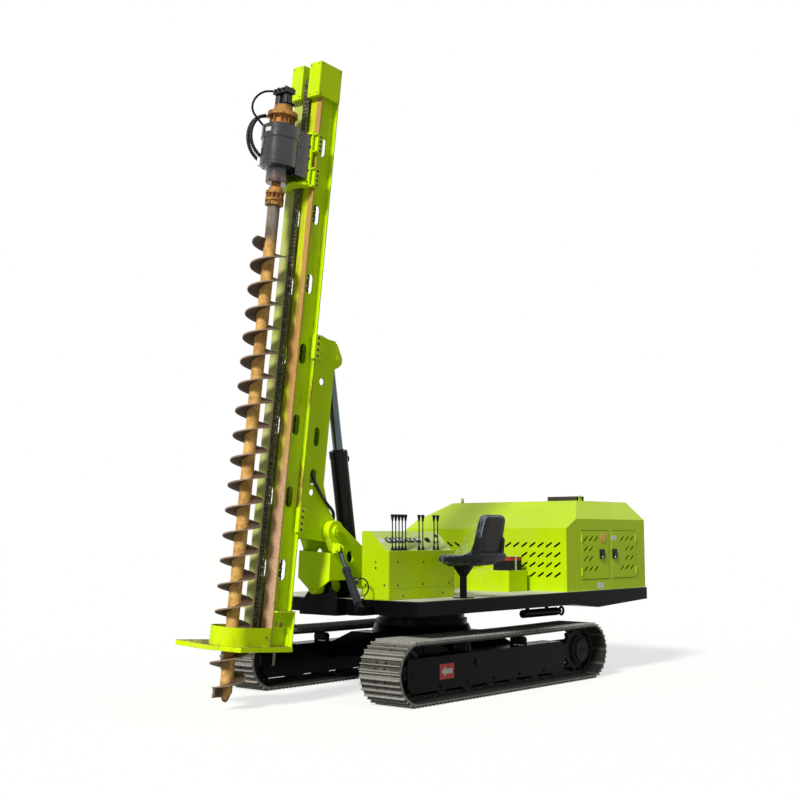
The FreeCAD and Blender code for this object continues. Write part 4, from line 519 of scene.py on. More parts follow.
def vinyl():
    """Black seat vinyl with leather grain."""
    look = Look("seat_vinyl", coat=0.03, coat_roughness=0.25, specular=0.16)
    grain = look.node("TexVoronoi", named={"Vector": look.stretched((1, 1, 1), 3), "Scale": 430})
    crease = look.noise(30, 6, 0.6, seed=5)
    color = look.mix(look.drift(0, 1, 9, 4, seed=8), (0.005, 0.006, 0.008), (0.014, 0.016, 0.021))
    color = look.mix(look.spots(0.58, 0.78, 17, 6, seed=9) * 0.30, color, (0.12, 0.12, 0.12))
    rough = look.line(crease, 0.3, 0.7, 0.30, 0.46)
    return look.set(color, rough, look.bump(grain * 0.5 + crease * 1.4, 0.30, 0.0012))


def clear_film():
    """Thin bluish wrapping film, wrinkled, its crests whitish as painted highlights."""
    look = Look("clear_film")
    wrinkle = look.noise(11, 6, 0.60, stretch=(1, 1, 0.45), seed=3, distort=1.4)
    fine = look.noise(40, 5, 0.6, seed=6, distort=0.8)
    painted_highlight_ridge = look.step(look.math("ABSOLUTE", wrinkle - 0.5), 0.022, 0.0)
    cloud = look.spots(0.48, 0.72, 7, 4, 0.5, stretch=(1, 1, 0.6), seed=15, distort=1.0)
    # painted highlight: the wrinkle crests are more opaque and whitish, standing for light glinting on the
    # film
    look.put(look.bsdf.inputs["Alpha"], painted_highlight_ridge * 0.32 + cloud * 0.20 + 0.035)
    color = look.mix(painted_highlight_ridge, (0.30, 0.42, 0.56), (0.80, 0.88, 0.94))
    return look.set(color, look.line(fine, 0.3, 0.7, 0.10, 0.22), look.bump(painted_highlight_ridge + fine * 0.5, 0.8, 0.004))


LOOKS = {
    "hood": hood_lime(),
    "console": console_lime(),
    "cradle": lime("cradle_lime", wear=0.35, rust=0.05, dust=0.10, tone=(1.42, 1.38, 1.0)),
    "mast": mast_lime(),
    "foot": foot_lime(),
    "head": lime("head_lime", wear=0.5, rust=0.05, dust=0.10, tone=(1.38, 1.36, 1.0)),
    "black": enamel("black_enamel", BLACK),
    "frame": enamel("frame_enamel", BLACK, gloss=0.22, dust=0.08, wear=0.2, coat=0.03),
    "deck_side": enamel("deck_enamel", (0.0028, 0.0031, 0.0046), gloss=0.24, dust=0.05, wear=0.2, coat=0.02),
    "ram": enamel("ram_enamel", (0.013, 0.0135, 0.0125), gloss=0.20, dust=0.25, coat=0.12),
    # painted sheen: a lighter, bluer copy of the black cylinder enamel for the tilt barrel, standing for its
    # blue highlights
    "tilt_ram": enamel("tilt_ram_sheen_enamel", (0.016, 0.019, 0.026), gloss=0.14, coat=0.45),
    "deck": chequer(),
    "track": track_steel(),
    "link": rusty("track_link_steel", (0.030, 0.026, 0.023), (0.010, 0.009, 0.008), worn=0.3),
    "soot": rusty("sooty_steel", (0.060, 0.045, 0.036), (0.020, 0.017, 0.015), worn=0.3),
    "auger": auger_steel(),
    "chrome": rod_chrome(),
    "gear": gear_paint(),
    "motor": head_motor(),
    "rust": rusty("rusty_steel"),
    "cast": rusty("cast_steel", (0.040, 0.035, 0.030), (0.012, 0.011, 0.010), worn=0.5),
    "bolt": rusty("dark_bolt", (0.085, 0.060, 0.045), (0.025, 0.020, 0.018), worn=0.5, scale=4, grain=0.3),
    "rust_bolt": rusty("rust_bolt", (0.30, 0.14, 0.055), (0.07, 0.035, 0.02), worn=0.3, scale=4, grain=0.3),
    "zinc": plain("zinc_fitting", (0.62, 0.62, 0.58), rough=0.30, metallic=0.9),
    "plastic": plain("black_plastic", (0.007, 0.007, 0.008), rough=0.42, grain=420, strength=0.2,
                     specular=0.15),
    "rubber": plain("hose_rubber", (0.006, 0.006, 0.007), rough=0.50, grain=260, strength=0.25,
                    specular=0.15),
    "wrap": plain("hose_wrap", (0.022, 0.022, 0.024), rough=0.30, grain=200, coat=0.15, specular=0.2),
    "chain": rusty("greasy_chain", (0.330, 0.310, 0.170), (0.060, 0.054, 0.034), worn=0.7, scale=3,
                   grain=0.3),
    "vinyl": vinyl(),
    "film": clear_film(),
    "panel": plain("seat_shell", (0.030, 0.026, 0.025), rough=0.45, grain=380, strength=0.2, specular=0.15),
    "piping": plain("seat_piping", (0.30, 0.31, 0.32), rough=0.45, grain=300),
    "orange": plain("reflector_orange", (0.78, 0.27, 0.015), rough=0.20, grain=60, strength=0.4, coat=0.6),
    "white": plain("label_white", (0.72, 0.72, 0.68), rough=0.42, vary=0.05),
    "red": plain("plate_red", (0.62, 0.030, 0.030), vary=0.10),
    "battery_red": plain("battery_red", (0.42, 0.020, 0.018), rough=0.35, grain=300),
    "strap": plain("strap_white", (0.62, 0.60, 0.54), rough=0.70, grain=500, strength=0.4),
    "glass": plain("gauge_glass", (0.58, 0.66, 0.68), rough=0.12, vary=0.08, coat=0.4),
    "grey": plain("dark_bezel", (0.012, 0.013, 0.015), rough=0.30, specular=0.15),
    "needle": plain("gauge_mark", (0.03, 0.03, 0.03)),
}
FINISH = {
    "hood": ("hood_front", "hood_rear", "hood_left", "hood_right", "hood_roof",
             "door_left_front", "door_left_rear", "door_right_front", "door_right_rear"),
    "console": ("console", "battery_box"),
    "cradle": ("cradle", "tilt_bracket"),
    "mast": ("mast_column",),
    "head": ("mast_crown", "carriage"),
    "foot": ("foot_plate",),
    "frame": ("track_frame_left", "track_frame_right", "centre_frame"),
    "deck_side": ("deck_frame", "underframe_wedge"),
    "black": ("slew_ring", "seat_post", "stowed_ram", "engine_block", "feed_motor"),
    "ram": ("luff_cylinder_barrel",),
    "tilt_ram": ("tilt_cylinder_barrel",),
    "chrome": ("luff_cylinder_rod", "tilt_cylinder_rod"),
    "deck": ("deck_plate",),
    "track": ("track_left", "track_right"),
    "cast": ("sprockets", "idlers", "rollers"),
    "auger": ("auger",),
    "gear": ("gearbox",),
    "motor": ("drive_motor",),
    "soot": ("exhaust",),
    "plastic": ("levers", "battery"),
    "chain": ("feed_chain",),
    "rubber": ("cradle_hose", "tilt_hose", "head_hose", "head_pressure_hoses"),
    "vinyl": ("seat",),
}
for look_name, names in FINISH.items():
    for name in names:
        mesh = NODES[name].data
        mesh.materials.clear()
        mesh.materials.append(LOOKS[look_name])
        mesh.polygons.foreach_set("material_index", [0] * len(mesh.polygons))


# ---------------------------------------------------------------- drawing meshes
def put_in_scene(name, data):
    obj = bpy.data.objects.new(name, data)
    scene.collection.objects.link(obj)
    return obj


def outward(mesh, merge=0.0):
    """Merges points that lie closer than asked, and turns every face of a mesh outward."""
    shape = bmesh.new()
    shape.from_mesh(mesh)
    if merge:
        bmesh.ops.remove_doubles(shape, verts=shape.verts, dist=merge)
    bmesh.ops.recalc_face_normals(shape, faces=shape.faces)
    shape.to_mesh(mesh)
    shape.free()


def direction(degrees):
    """Unit vector in the ground plane, at an angle from +X."""
    a = math.radians(degrees)
    return V((math.cos(a), math.sin(a), 0))


def square_to(n):
    """A direction square to n."""
    return n.cross(X if abs(n.x) < 0.8 else Y).normalized()


class Carried:
    """A direction square to a path, carried along it without twist."""

    def __init__(self):
        self.normal = None

    def step(self, t):
        if self.normal is None:
            self.normal = t.cross(Z if abs(t.z) < 0.9 else X).normalized()
        self.normal = (self.normal - t * self.normal.dot(t)).normalized()
        return self.normal, t.cross(self.normal)


class Shape:
    """A mesh drawn in one frame and kept in world metres."""

    def __init__(self, at=WORLD):
        self.at = at
        self.verts = []
        self.faces = []
        self.tints = []
        self.tint = 0

    def add(self, verts, faces):
        start = len(self.verts)
        self.verts += [self.at.world(v) for v in verts]
        self.faces += [[i + start for i in face] for face in faces]
        self.tints += [self.tint] * len(faces)

    def prism(self, outline, at, ex, ey, depth):
        """Polygon in the plane of ex and ey through at, pushed along ex x ey."""
        ex = V(ex).normalized()
        ey = V(ey).normalized()
        ez = ex.cross(ey)
        base = [V(at) + ex * a + ey * b for a, b in outline]
        n = len(base)
        sides = [[i, (i + 1) % n, n + (i + 1) % n, n + i] for i in range(n)]
        ends = [list(range(n))[::-1], list(range(n, 2 * n))]
        self.add(base + [p + ez * depth for p in base], ends + sides)

    def block(self, corner, other):
        """Box between two opposite corners, in either order."""
        (a, b, c), (d, e, f) = corner, other
        self.prism([(a, b), (d, b), (d, e), (a, e)], (0, 0, c), X, Y, f - c)

    def turned(self, at, axis, profile, steps=20, spin=0.0):
        """Profile of (radius, height) pairs turned about an axis from a point."""
        n = V(axis).normalized()
        e1 = square_to(n)
        e2 = n.cross(e1)
        verts = []
        faces = []
        rings = []
        for r, h in profile:
            centre = V(at) + n * h
            if r < 1e-7:
                rings.append([len(verts)] * steps)
                verts.append(centre)
                continue
            rings.append(list(range(len(verts), len(verts) + steps)))
            verts += ring_of(steps, r, centre, e1, e2, spin)
        for low, high in zip(rings, rings[1:]):
            for k in range(steps):
                j = (k + 1) % steps
                faces.append(list(dict.fromkeys((low[k], low[j], high[j], high[k]))))
        faces += [list(ring) for ring in (rings[0], rings[-1]) if ring[0] != ring[1]]
        self.add(verts, faces)

    def bolt(self, at, axis, r=0.012, h=None, washer=True, spin=0.3):
        h = h or r * 0.7
        base = 0.0
        if washer:
            base = r * 0.16
            self.turned(at, axis, [(r * 1.35, 0), (r * 1.35, base), (0, base)], 14)
        self.turned(V(at) + V(axis).normalized() * base, axis,
                    [(r, 0), (r, h * 0.78), (r * 0.84, h), (0, h)], 6, spin)

    def bolts(self, count, circle, centre, e1, e2, axis, r, start=0.0, **more):
        """Bolts round a circle."""
        for p in ring_of(count, circle, centre, e1, e2, start):
            self.bolt(p, axis, r, **more)

    def tube(self, points, r):
        """Open round bead along points."""
        steps = 8
        carried = Carried()
        verts = []
        faces = []
        last = len(points) - 1
        for k, p in enumerate(points):
            t = (points[min(k + 1, last)] - points[max(k - 1, 0)]).normalized()
            verts += ring_of(steps, r, p, *carried.step(t))
        for k in range(last):
            for s in range(steps):
                j = (s + 1) % steps
                faces.append([k * steps + s, k * steps + j, (k + 1) * steps + j, (k + 1) * steps + s])
        self.add(verts, faces)

    def done(self, name, body, slot, looks, bevel=0.0, angle=35):
        mesh = bpy.data.meshes.new(name)
        mesh.from_pydata([tuple(v) for v in self.verts], [], self.faces)
        mesh.polygons.foreach_set("material_index", self.tints)
        outward(mesh)
        mesh.polygons.foreach_set("use_smooth", [True] * len(mesh.polygons))
        mesh.set_sharp_from_angle(angle=math.radians(angle))
        for look in ([looks] if isinstance(looks, str) else looks):
            mesh.materials.append(LOOKS[look])
        obj = put_in_scene(name, mesh)
        if bevel:
            round_off = obj.modifiers.new("bevel", "BEVEL")
            round_off.width = bevel
            round_off.segments = 2
            round_off.limit_method = "ANGLE"
            round_off.angle_limit = math.radians(40)
        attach(obj, body)
        return obj


def plug(r, height, top_r, top, foot=0.0):
    """Profile of a round or hexagon plug with a sloping rim and a flat top."""
    return [(r, foot), (r, height), (top_r, top), (0, top)]


def union(r, height, neck_r, neck, top):
    """Profile of a hose union: a hexagon with a neck above."""
    return [(r, 0), (r, height), (neck_r, neck), (neck_r, top), (0, top)]


def band(r, crest_r, slope, height):
    """Profile of a raised band round a cylinder."""
    return [(r, 0), (crest_r, slope), (crest_r, height - slope), (r, height)]


def ring_of(count, r, centre, e1, e2, start=0.0):
    """Points on a circle."""
    for k in range(count):
        a = start + 2 * math.pi * k / count
        yield V(centre) + V(e1) * (r * math.cos(a)) + V(e2) * (r * math.sin(a))


def evaluated(obj):
    """The object's mesh with its modifiers, or its curve as a mesh."""
    bpy.context.view_layer.update()
    return bpy.data.meshes.new_from_object(obj.evaluated_get(bpy.context.evaluated_depsgraph_get()))


# ---------------------------------------------------------------- hoses
def route_line(obj):
    """The hose's own spline, sampled with no bevel on it."""
    bare = obj.copy()
    bare.data = obj.data.copy()
    bare.data.bevel_depth = 0.0
    scene.collection.objects.link(bare)
    points = [v.co.copy() for v in evaluated(bare).vertices]
    bpy.data.objects.remove(bare)
    return points


class Run:
    """Points along a line, found by their distance from its start."""

    def __init__(self, line):
        self.line = line
        self.at = [0.0]
        for a, b in zip(line, line[1:]):
            self.at.append(self.at[-1] + (b - a).length)
        self.length = self.at[-1]

    def point(self, s):
        s = min(max(s, 0.0), self.length)
        k = next(i for i in range(1, len(self.at)) if self.at[i] >= s - 1e-9)
        t = (s - self.at[k - 1]) / (self.at[k] - self.at[k - 1])
        return self.line[k - 1].lerp(self.line[k], t)


def ferrules(run, r, long):
    """Hexagon and crimped sleeve at both ends of a hose."""
    shape = Shape()
    for base, inward in ((0.0, long), (run.length, -long)):
        a = run.point(base)
        d = (run.point(base + inward) - a).normalized()
        hexagon = ((0.9, 0, 0), (1.42, 0.001, 0), (1.42, 0, 0.24), (1.12, 0, 0.25))
        sleeve = ((1.15, 0), (1.3, 0.04), (1.3, 0.60), (1.18, 0.66), (1.02, 0.67))
        shape.turned(a, d, [(r * wide, up + long * share) for wide, up, share in hexagon], 6)
        shape.turned(a + d * (long * 0.25), d, [(r * wide, long * share) for wide, share in sleeve], 18)
    return shape


def spiral_guard(run, r, pitch):
    """Flat strip wound round a hose, clear of its ferrules."""
    clear = 0.06
    turns = int((run.length - 2 * clear) / pitch)
    wide = pitch * 0.34
    thick = 0.0022
    section = ((-wide, 0.0), (-wide * 0.8, thick), (wide * 0.8, thick), (wide, 0.0))
    steps = turns * 14
    carried = Carried()
    verts = []
    faces = []
    for k in range(steps + 1):
        s = clear + (run.length - 2 * clear) * k / steps
        p = run.point(s)
        t = (run.point(s + 0.004) - run.point(s - 0.004)).normalized()
        normal, other = carried.step(t)
        a = 2 * math.pi * turns * k / steps
        out = normal * math.cos(a) + other * math.sin(a)
        verts += [p + t * along + out * (r - 0.0004 + height) for along, height in section]
    for k in range(0, 4 * steps, 4):
        for s in range(4):
            j = (s + 1) % 4
            faces.append([k + s, k + j, k + 4 + j, k + 4 + s])
    guard = Shape()
    guard.add(verts, faces + [[0, 1, 2, 3], list(range(len(verts) - 4, len(verts)))])
    return guard


def hose(name, at, route, r, body, node, wrap=0.0, ferrule=0.045):
    """A hose on one NURBS spline, with its ferrules and, where it has one, a spiral guard. Route in mm."""
    curve = bpy.data.curves.new(name, "CURVE")
    curve.dimensions = "3D"
    curve.bevel_depth = r
    curve.bevel_resolution = 4
    curve.resolution_u = 16
    curve.use_fill_caps = True
    spline = curve.splines.new("NURBS")
    spline.points.add(len(route) - 1)
    for point, local in zip(spline.points, route):
        point.co = (*at.world([c / 1000 for c in local]), 1.0)
    spline.order_u = 3
    spline.use_endpoint_u = True
    obj = put_in_scene(name, curve)
    curve.materials.append(LOOKS["rubber"])
    line = route_line(obj)
    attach(obj, body)
    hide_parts(node)
    run = Run(line)
    going = [ferrules(run, r, ferrule).done(name + "_fittings", body, "chrome_rod", "zinc")]
    if wrap:
        guard = spiral_guard(run, r, wrap)
        going.append(guard.done(name + "_guard", body, "hose_rubber", "wrap", angle=60))
    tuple(line[0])


def hoses():
    hose("cradle_hose_run", MAST, (
        (1972, 55, 2300), (1955, 105, 2200), (1915, 148, 2090), (1835, 155, 1995), (1745, 155, 1915),
        (1650, 146, 1862), (1590, 112, 1822), (1540, 65, 1770), (1520, 30, 1684)),
        0.015, "cradle", "cradle_hose", wrap=0.022)
    hose("head_thin_hose", MAST, (
        (2750, -70, 5885), (2840, -90, 5870), (2925, -120, 5815), (2970, -150, 5730), (2965, -160, 5640),
        (2915, -120, 5560), (2825, -80, 5480)),
        0.011, "drive_head", "head_hose")
    hose("head_pressure_hose_a", MAST, (
        (2770, -110, 5642), (2850, -140, 5625), (2915, -165, 5545), (2940, -175, 5440), (2925, -170, 5335),
        (2865, -155, 5245), (2785, -130, 5200)),
        0.016, "drive_head", "head_pressure_hoses", wrap=0.024)
    hose("head_pressure_hose_b", MAST, (
        (2735, -125, 5642), (2820, -175, 5640), (2905, -205, 5560), (2945, -215, 5430), (2920, -208, 5295),
        (2845, -185, 5200), (2760, -145, 5150)),
        0.016, "drive_head", "head_pressure_hoses", wrap=0.024)
    hose("tilt_cylinder_hose", TILT_RAM, (
        (-50, 30, 290), (-50, 95, 285), (-50, 150, 240), (-50, 158, 170), (-45, 118, 112), (-20, 38, 90)),
        0.007, "tilt_barrel", "tilt_hose", ferrule=0.03)


# ---------------------------------------------------------------- tracks
SHOE = 0.171                    # pitch of the track's shoes
HINGE_LOW = 0.046               # hinge pins of the lower run
TRACK_Y = 0.990
LINKS_RUN = 19                  # links on each straight run, with five round each end
END_Z = HINGE_LOW + SHOE / (2 * math.tan(math.pi / 10))
LINK_OUTLINE = (
    (0.004, -0.010), (0.018, -0.026), (0.045, -0.029), (0.070, -0.022), (0.100, -0.022), (0.128, -0.029),
    (0.150, -0.020), (0.150, -0.004), (0.135, 0.008), (0.040, 0.008), (0.010, 0.006))


def hinge_line():
    """Hinge pins round the loop, with the upper run sagging."""
    x = -LINKS_RUN * SHOE / 2
    z = HINGE_LOW
    points = []
    turns = [0] * LINKS_RUN + [1, 2, 3, 4] + [5] * LINKS_RUN + [6, 7, 8, 9]
    for k, turn in enumerate(turns):
        t = min(max((k - 24) / 17, 0.0), 1.0)
        points.append(V((x, 0, z - 0.040 * t * (1 - t))))
        x += SHOE * math.cos(turn * math.pi / 5)
        z += SHOE * math.sin(turn * math.pi / 5)
    return points


def track_details(sign, side, line):
    bolts = Shape()
    links = Shape()
    for k, p in enumerate(line):
        d = (line[(k + 1) % len(line)] - p).normalized()
        out = V((d.z, 0, -d.x))
        for s in (0.0567, 0.1142):
            for y in (-0.056, 0.056):
                bolts.bolt(p + d * s + out * 0.0238 + Y * (sign * (TRACK_Y + y)), out, 0.0115, 0.010, spin=k)
        for y, face in ((-0.0722, -1), (-0.0398, 1), (0.0398, -1), (0.0722, 1)):
            at = p + Y * (sign * TRACK_Y + y)
            links.prism(LINK_OUTLINE, at, d, out, -0.004 * face)
            pin = [(0.017, 0), (0.017, 0.003), (0.011, 0.0045), (0.011, 0.0065), (0, 0.0065)]
            links.turned(at - out * 0.010 + Y * (0.003 * face), Y * face, pin, 12)
    bolts.done("shoe_bolts_" + side, "undercarriage", "track_steel", "link", angle=30)
    links.done("track_links_" + side, "undercarriage", "track_steel", "link")


def frame_fittings(sign, side):
    """Roller bolts, final drive, idler keeper and round access cap on a track frame's outer face."""
    fit = Shape()
    out = Y * sign
    face = sign * (TRACK_Y + 0.120)
    for x in (1.064, 0.623, 0.178, -0.280, -0.741, -1.181):
        fit.bolt((x, face, 0.150), out, 0.015)
    drive = V((-END_X, face, END_Z))
    fit.bolts(9, 0.095, drive - out * 0.005, X, Z, out, 0.0085, 0.2, washer=False)
    fit.bolts(16, 0.140, drive - out * 0.045, X, Z, out, 0.0075, washer=False)
    fit.turned(drive + out * 0.0115, out, [(0.032, 0), (0.028, 0.006), (0.012, 0.008), (0, 0.008)], 20)
    idler = V((END_X, face, END_Z))
    back = -0.056 - sign * 0.006
    fit.block(idler + V((back, 0, -0.030)), idler + V((back + 0.112, 0.008, 0.030)))
    for dx in (-0.045, 0.033):
        fit.bolt(idler + X * dx + out * 0.008, out, 0.010)
    cap = V((0.480, face, 0.330))
    fit.turned(cap, out, plug(0.040, 0.006, 0.034, 0.009), 24)
    fit.bolts(4, 0.027, cap + out * 0.009, X, Z, out, 0.0055, 0.8, washer=False)
    fit.done("track_frame_fittings_" + side, "undercarriage", "black_paint", "frame", bevel=0.0008)


def arrow_plates():
    plates = Shape()
    x = 0.970
    z = 0.283
    arrow = ((0.088, 0), (0.022, 0.050), (0.022, 0.024), (-0.088, 0.024), (-0.088, -0.024), (0.022, -0.024),
             (0.022, -0.050))
    for sign in (1, -1):
        face = sign * 1.1102
        plates.tint = 0
        plates.block((0.855, face, 0.210), (1.084, face + sign * 0.0022, 0.356))
        plates.tint = 1
        plates.prism(arrow, (x, face + sign * 0.002, z), X, Z, -0.0012 * sign)
    plates.done("arrow_plates", "undercarriage", "black_paint", ["red", "white"])


def undercarriage_details():
    line = hinge_line()
    for sign, side in SIDES:
        track_details(sign, side, line)
    for sign, side in SIDES:
        frame_fittings(sign, side)
    arrow_plates()


# ---------------------------------------------------------------- hood, deck and console
def door_latch(sign, name, x):
    """Recessed paddle latch with its key lock."""
    skin = sign * 1.1742
    frame_y = skin + sign * 0.0115
    z = 1.3875
    latch = Shape()
    latch.block((x - 0.0475, skin, z - 0.055), (x + 0.0475, frame_y, z + 0.055))
    proud = frame_y + sign * 0.0035
    for dz in (0.050, -0.050):
        latch.block((x - 0.0475, frame_y, z + dz - 0.005), (x + 0.0475, proud, z + dz + 0.005))
    for dx in (-0.0435, 0.0435):
        latch.block((x + dx - 0.004, frame_y, z - 0.045), (x + dx + 0.004, proud, z + 0.045))
    paddle = ((-0.026, -0.012), (0.026, -0.012), (0.030, 0.030), (-0.030, 0.030))
    latch.prism(paddle, (x, frame_y, 1.385), X, Z, -0.0065 * sign)
    latch.done("latch_" + name, "door_" + name, "black_plastic", "plastic", bevel=0.0015)
    lock = Shape()
    lock.turned((x, frame_y, 1.352), Y * sign, [(0.011, 0), (0.011, 0.004), (0.009, 0.0055), (0.003, 0.0055),
                                                (0.003, 0.003), (0, 0.003)], 18)
    lock.done("lock_" + name, "door_" + name, "chrome_rod", "zinc")


def blank_label(name, body, low, high):
    label = Shape()
    label.block(low, high)
    label.done("blank_label_" + name, body, "lime_paint", "white")


def hood_details():
    for sign, side in SIDES:
        door_latch(sign, side + "_front", -1.880)
        door_latch(sign, side + "_rear", -2.166)
    for sign, side in SIDES:
        skin = sign * 1.1740
        eye = Shape()
        eye.turned((-1.915, skin, 1.572), Y * sign,
                   [(0.055, 0), (0.055, 0.004), (0.049, 0.008), (0.047, 0.0065), (0, 0.0085)], 28)
        eye.done("reflector_" + side, "door_%s_front" % side, "lime_paint", "orange")
        blank_label("door_" + side, "door_%s_rear" % side,
                    (-2.223, skin, 1.548), (-2.109, skin + sign * 0.0008, 1.601))
        sill = sign * 1.1698
        blank_label("sill_" + side, "upper", (-1.920, sill, 0.993), (-1.780, sill + sign * 0.0010, 1.061))


def gauge(dials, x, r, needle):
    """Bezel, glass face, nine marks and a needle at an angle in degrees."""
    dials.tint = 0
    dials.turned((x, 0, 0), Z, [(r, 0), (r + 0.002, 0.002), (r + 0.001, 0.011), (r - 0.007, 0.0135),
                                (r - 0.008, 0.0085)], 30)
    dials.tint = 1
    dials.turned((x, 0, 0), Z, [(r - 0.005, 0.003), (r - 0.005, 0.0090), (0, 0.0094)], 30)
    dials.tint = 2
    mark = ((-0.0030, -0.0006), (0.0030, -0.0006), (0.0030, 0.0006), (-0.0030, 0.0006))
    for j in range(9):
        d = direction(40 - 32.5 * j)
        dials.prism(mark, V((x, 0, 0.0093)) + d * (r - 0.0095), d, Z.cross(d), 0.0005)
    d = direction(-needle)
    hand = ((-0.004, -0.0010), (r - 0.012, -0.0004), (r - 0.012, 0.0004), (-0.004, 0.0010))
    dials.prism(hand, (x, 0, 0.0098), d, Z.cross(d), 0.0006)
    dials.turned((x, 0, 0.0098), Z, [(0.0028, 0), (0.0028, 0.0018), (0, 0.0018)], 12)


def console_gauges():
    """Six gauges, a small display with its buttons, a knob, three small switches and a blank label."""
    slope = V((0, 0.694, 0.720)).normalized()
    dials = Shape(Frame((0, 0.683, 1.5515), X, slope.cross(X), slope))
    for k, x in enumerate((1.360, 1.287, 1.211, 1.149, 1.056, 0.994)):
        gauge(dials, x, 0.0345 if k < 4 else 0.030, 150 + 23 * k)
    dials.tint = 0
    dials.block((0.872, -0.030, 0), (0.938, 0.030, 0.012))
    dials.tint = 1
    dials.block((0.878, -0.024, 0.010), (0.932, 0.012, 0.0126))
    dials.tint = 2
    for x in (0.886, 0.905, 0.924):
        dials.turned((x, 0.021, 0.012), Z, plug(0.005, 0.003, 0.004, 0.004), 14)
    dials.tint = 0
    dials.turned((0.748, 0, 0), Z, [(0.034, 0), (0.034, 0.005), (0.026, 0.008), (0.024, 0.020),
                                    (0.017, 0.024), (0, 0.024)], 26)
    for x in (0.655, 0.600):
        dials.turned((x, 0.030, 0), Z, [(0.013, 0), (0.013, 0.004), (0.008, 0.006), (0.006, 0.016),
                                        (0.004, 0.018), (0, 0.018)], 18)
    dials.turned((0.557, -0.062, 0), Z, [(0.020, 0), (0.020, 0.004), (0.014, 0.006), (0.014, 0.014),
                                         (0.009, 0.018), (0, 0.019)], 20)
    dials.tint = 3
    dials.block((1.418, -0.030, 0), (1.486, 0.034, 0.001))
    dials.done("console_gauges", "upper", "black_plastic", ["grey", "glass", "needle", "white"])


def lever_boots():
    """Pleated boots at the levers' feet, and the knobs' domed tops."""
    boots = Shape()
    pleats = [(0.0205, -0.004)]
    for k in range(4):
        pleats += [(0.0205 - 0.0028 * k, 0.003 + 0.011 * k), (0.0150 - 0.0022 * k, 0.0085 + 0.011 * k)]
    pleats += [(0.0065, 0.050), (0.0062, 0.052)]
    dome = [(0.0192, -0.004), (0.0192, 0.002), (0.0165, 0.0065), (0.009, 0.009), (0, 0.0095)]
    for x in (1.420, 1.370, 1.320, 1.270, 1.220, 1.010, 0.950, 0.770, 0.710):
        boots.turned((x, 0.795, 1.4528), Z, pleats, 18)
        boots.turned((x, 0.795, 1.800), Z, dome, 18)
    boots.done("lever_boots", "upper", "black_plastic", "plastic", angle=50)


def console_panels():
    """Sheets on the console's left side and front, with their screws."""
    skin = Shape()
    side = 0.8198
    front = 1.4998
    thick = 0.0022
    for low, high in ((1.086, 1.446), (0.982, 1.080)):
        skin.block((0.478, side, low), (1.492, side + thick, high))
    skin.prism([(0.474, 1.086), (0.812, 1.086), (0.812, 1.443), (0.776, 1.446), (0.592, 1.626),
                (0.474, 1.626)], (front, 0, 0), Y, Z, thick)
    skin.block((front, 0.474, 0.982), (front + thick, 0.812, 1.080))
    skin.done("console_panels", "upper", "lime_paint", "console", bevel=0.0008)
    screws = Shape()
    head = [(0.011, 0), (0.010, 0.003), (0.006, 0.0045), (0, 0.005)]
    for x, z in ((1.373, 1.345), (0.976, 1.339), (1.372, 1.120), (0.980, 1.120), (1.289, 1.012),
                 (0.666, 1.023), (0.560, 1.339), (0.560, 1.120)):
        screws.turned((x, side + thick, z), Y, head, 14)
    for y, z in ((0.650, 1.343), (0.650, 1.285), (0.520, 1.120), (0.765, 1.120)):
        screws.turned((front + thick, y, z), X, head, 14)
    screws.done("console_screws", "upper", "black_plastic", "bolt")


def battery_details():
    """Lid band, vent plugs, terminals and the white strap."""
    low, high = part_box("battery")
    parts = Shape()
    parts.tint = 0
    top = high.z - 0.004
    parts.block((low.x - 0.001, low.y - 0.001, top - 0.036), (high.x + 0.001, high.y + 0.001, top))
    parts.block((low.x + 0.010, low.y + 0.012, top), (high.x - 0.010, high.y - 0.060, top + 0.008))
    for k in range(3):
        parts.turned((low.x + 0.050 + 0.065 * k, (low.y + high.y) / 2 - 0.02, high.z + 0.004), Z,
                     plug(0.014, 0.004, 0.011, 0.006), 18)
    parts.tint = 2
    for x in (low.x + 0.040, high.x - 0.040):
        parts.turned((x, high.y - 0.030, high.z - 0.004), Z, [(0.013, 0), (0.011, 0.014), (0, 0.015)], 18)
        parts.block((x - 0.016, high.y - 0.046, high.z - 0.001), (x + 0.016, high.y - 0.018, high.z + 0.006))
    parts.tint = 1
    left = (low.x + high.x) / 2 - 0.016
    right = left + 0.032
    parts.block((left, low.y - 0.0035, high.z + 0.0040), (right, high.y + 0.0035, high.z + 0.0062))
    for y in (low.y - 0.0035, high.y + 0.0013):
        parts.block((left, y, low.z), (right, y + 0.0022, high.z + 0.0045))
    parts.done("battery_fittings", "upper", "black_plastic", ["battery_red", "strap", "zinc"], bevel=0.0012)


# ---------------------------------------------------------------- seat
SEAT_X = 0.655
PAN_HALF = (0.214, 0.255, 0.047)
BACK_HALF = (0.212, 0.228, 0.036)
PAN_CORNERS = 0.30
BACK_CORNERS = 0.26


def power(value, e):
    """Power that keeps the sign."""
    return math.copysign(abs(value) ** e, value)


def grid_faces(rows, cols):
    """Quads over a grid of points, row by row."""
    quads = []
    for i in range(rows):
        for j in range(cols):
            k = i * (cols + 1) + j
            quads.append([k, k + 1, k + cols + 2, k + cols + 1])
    return quads


def pan_at(x, y, z):
    """The pan's shape: raised sides, dished middle, front edge falling away."""
    s = y / PAN_HALF[1]
    side = min(1.0, abs(x) / PAN_HALF[0])
    front = max(0.0, (-s - 0.50) / 0.50)
    z = z * (1.0 - 0.30 * front * front)
    if z > 0:
        z += 0.020 * max(0.0, (side - 0.55) / 0.45) ** 1.5 * (1 - 0.55 * front)
        z -= 0.006 * (1 - side) * (1 - s * s)
    z += 0.014 * front - 0.006 * (1 - s * s)
    x *= 1.0 - 0.030 * math.cos(s * math.pi / 2)
    return V((SEAT_X + x, 1.140 + y * (1 - 0.02 * (1 - side)), 1.358 + z))


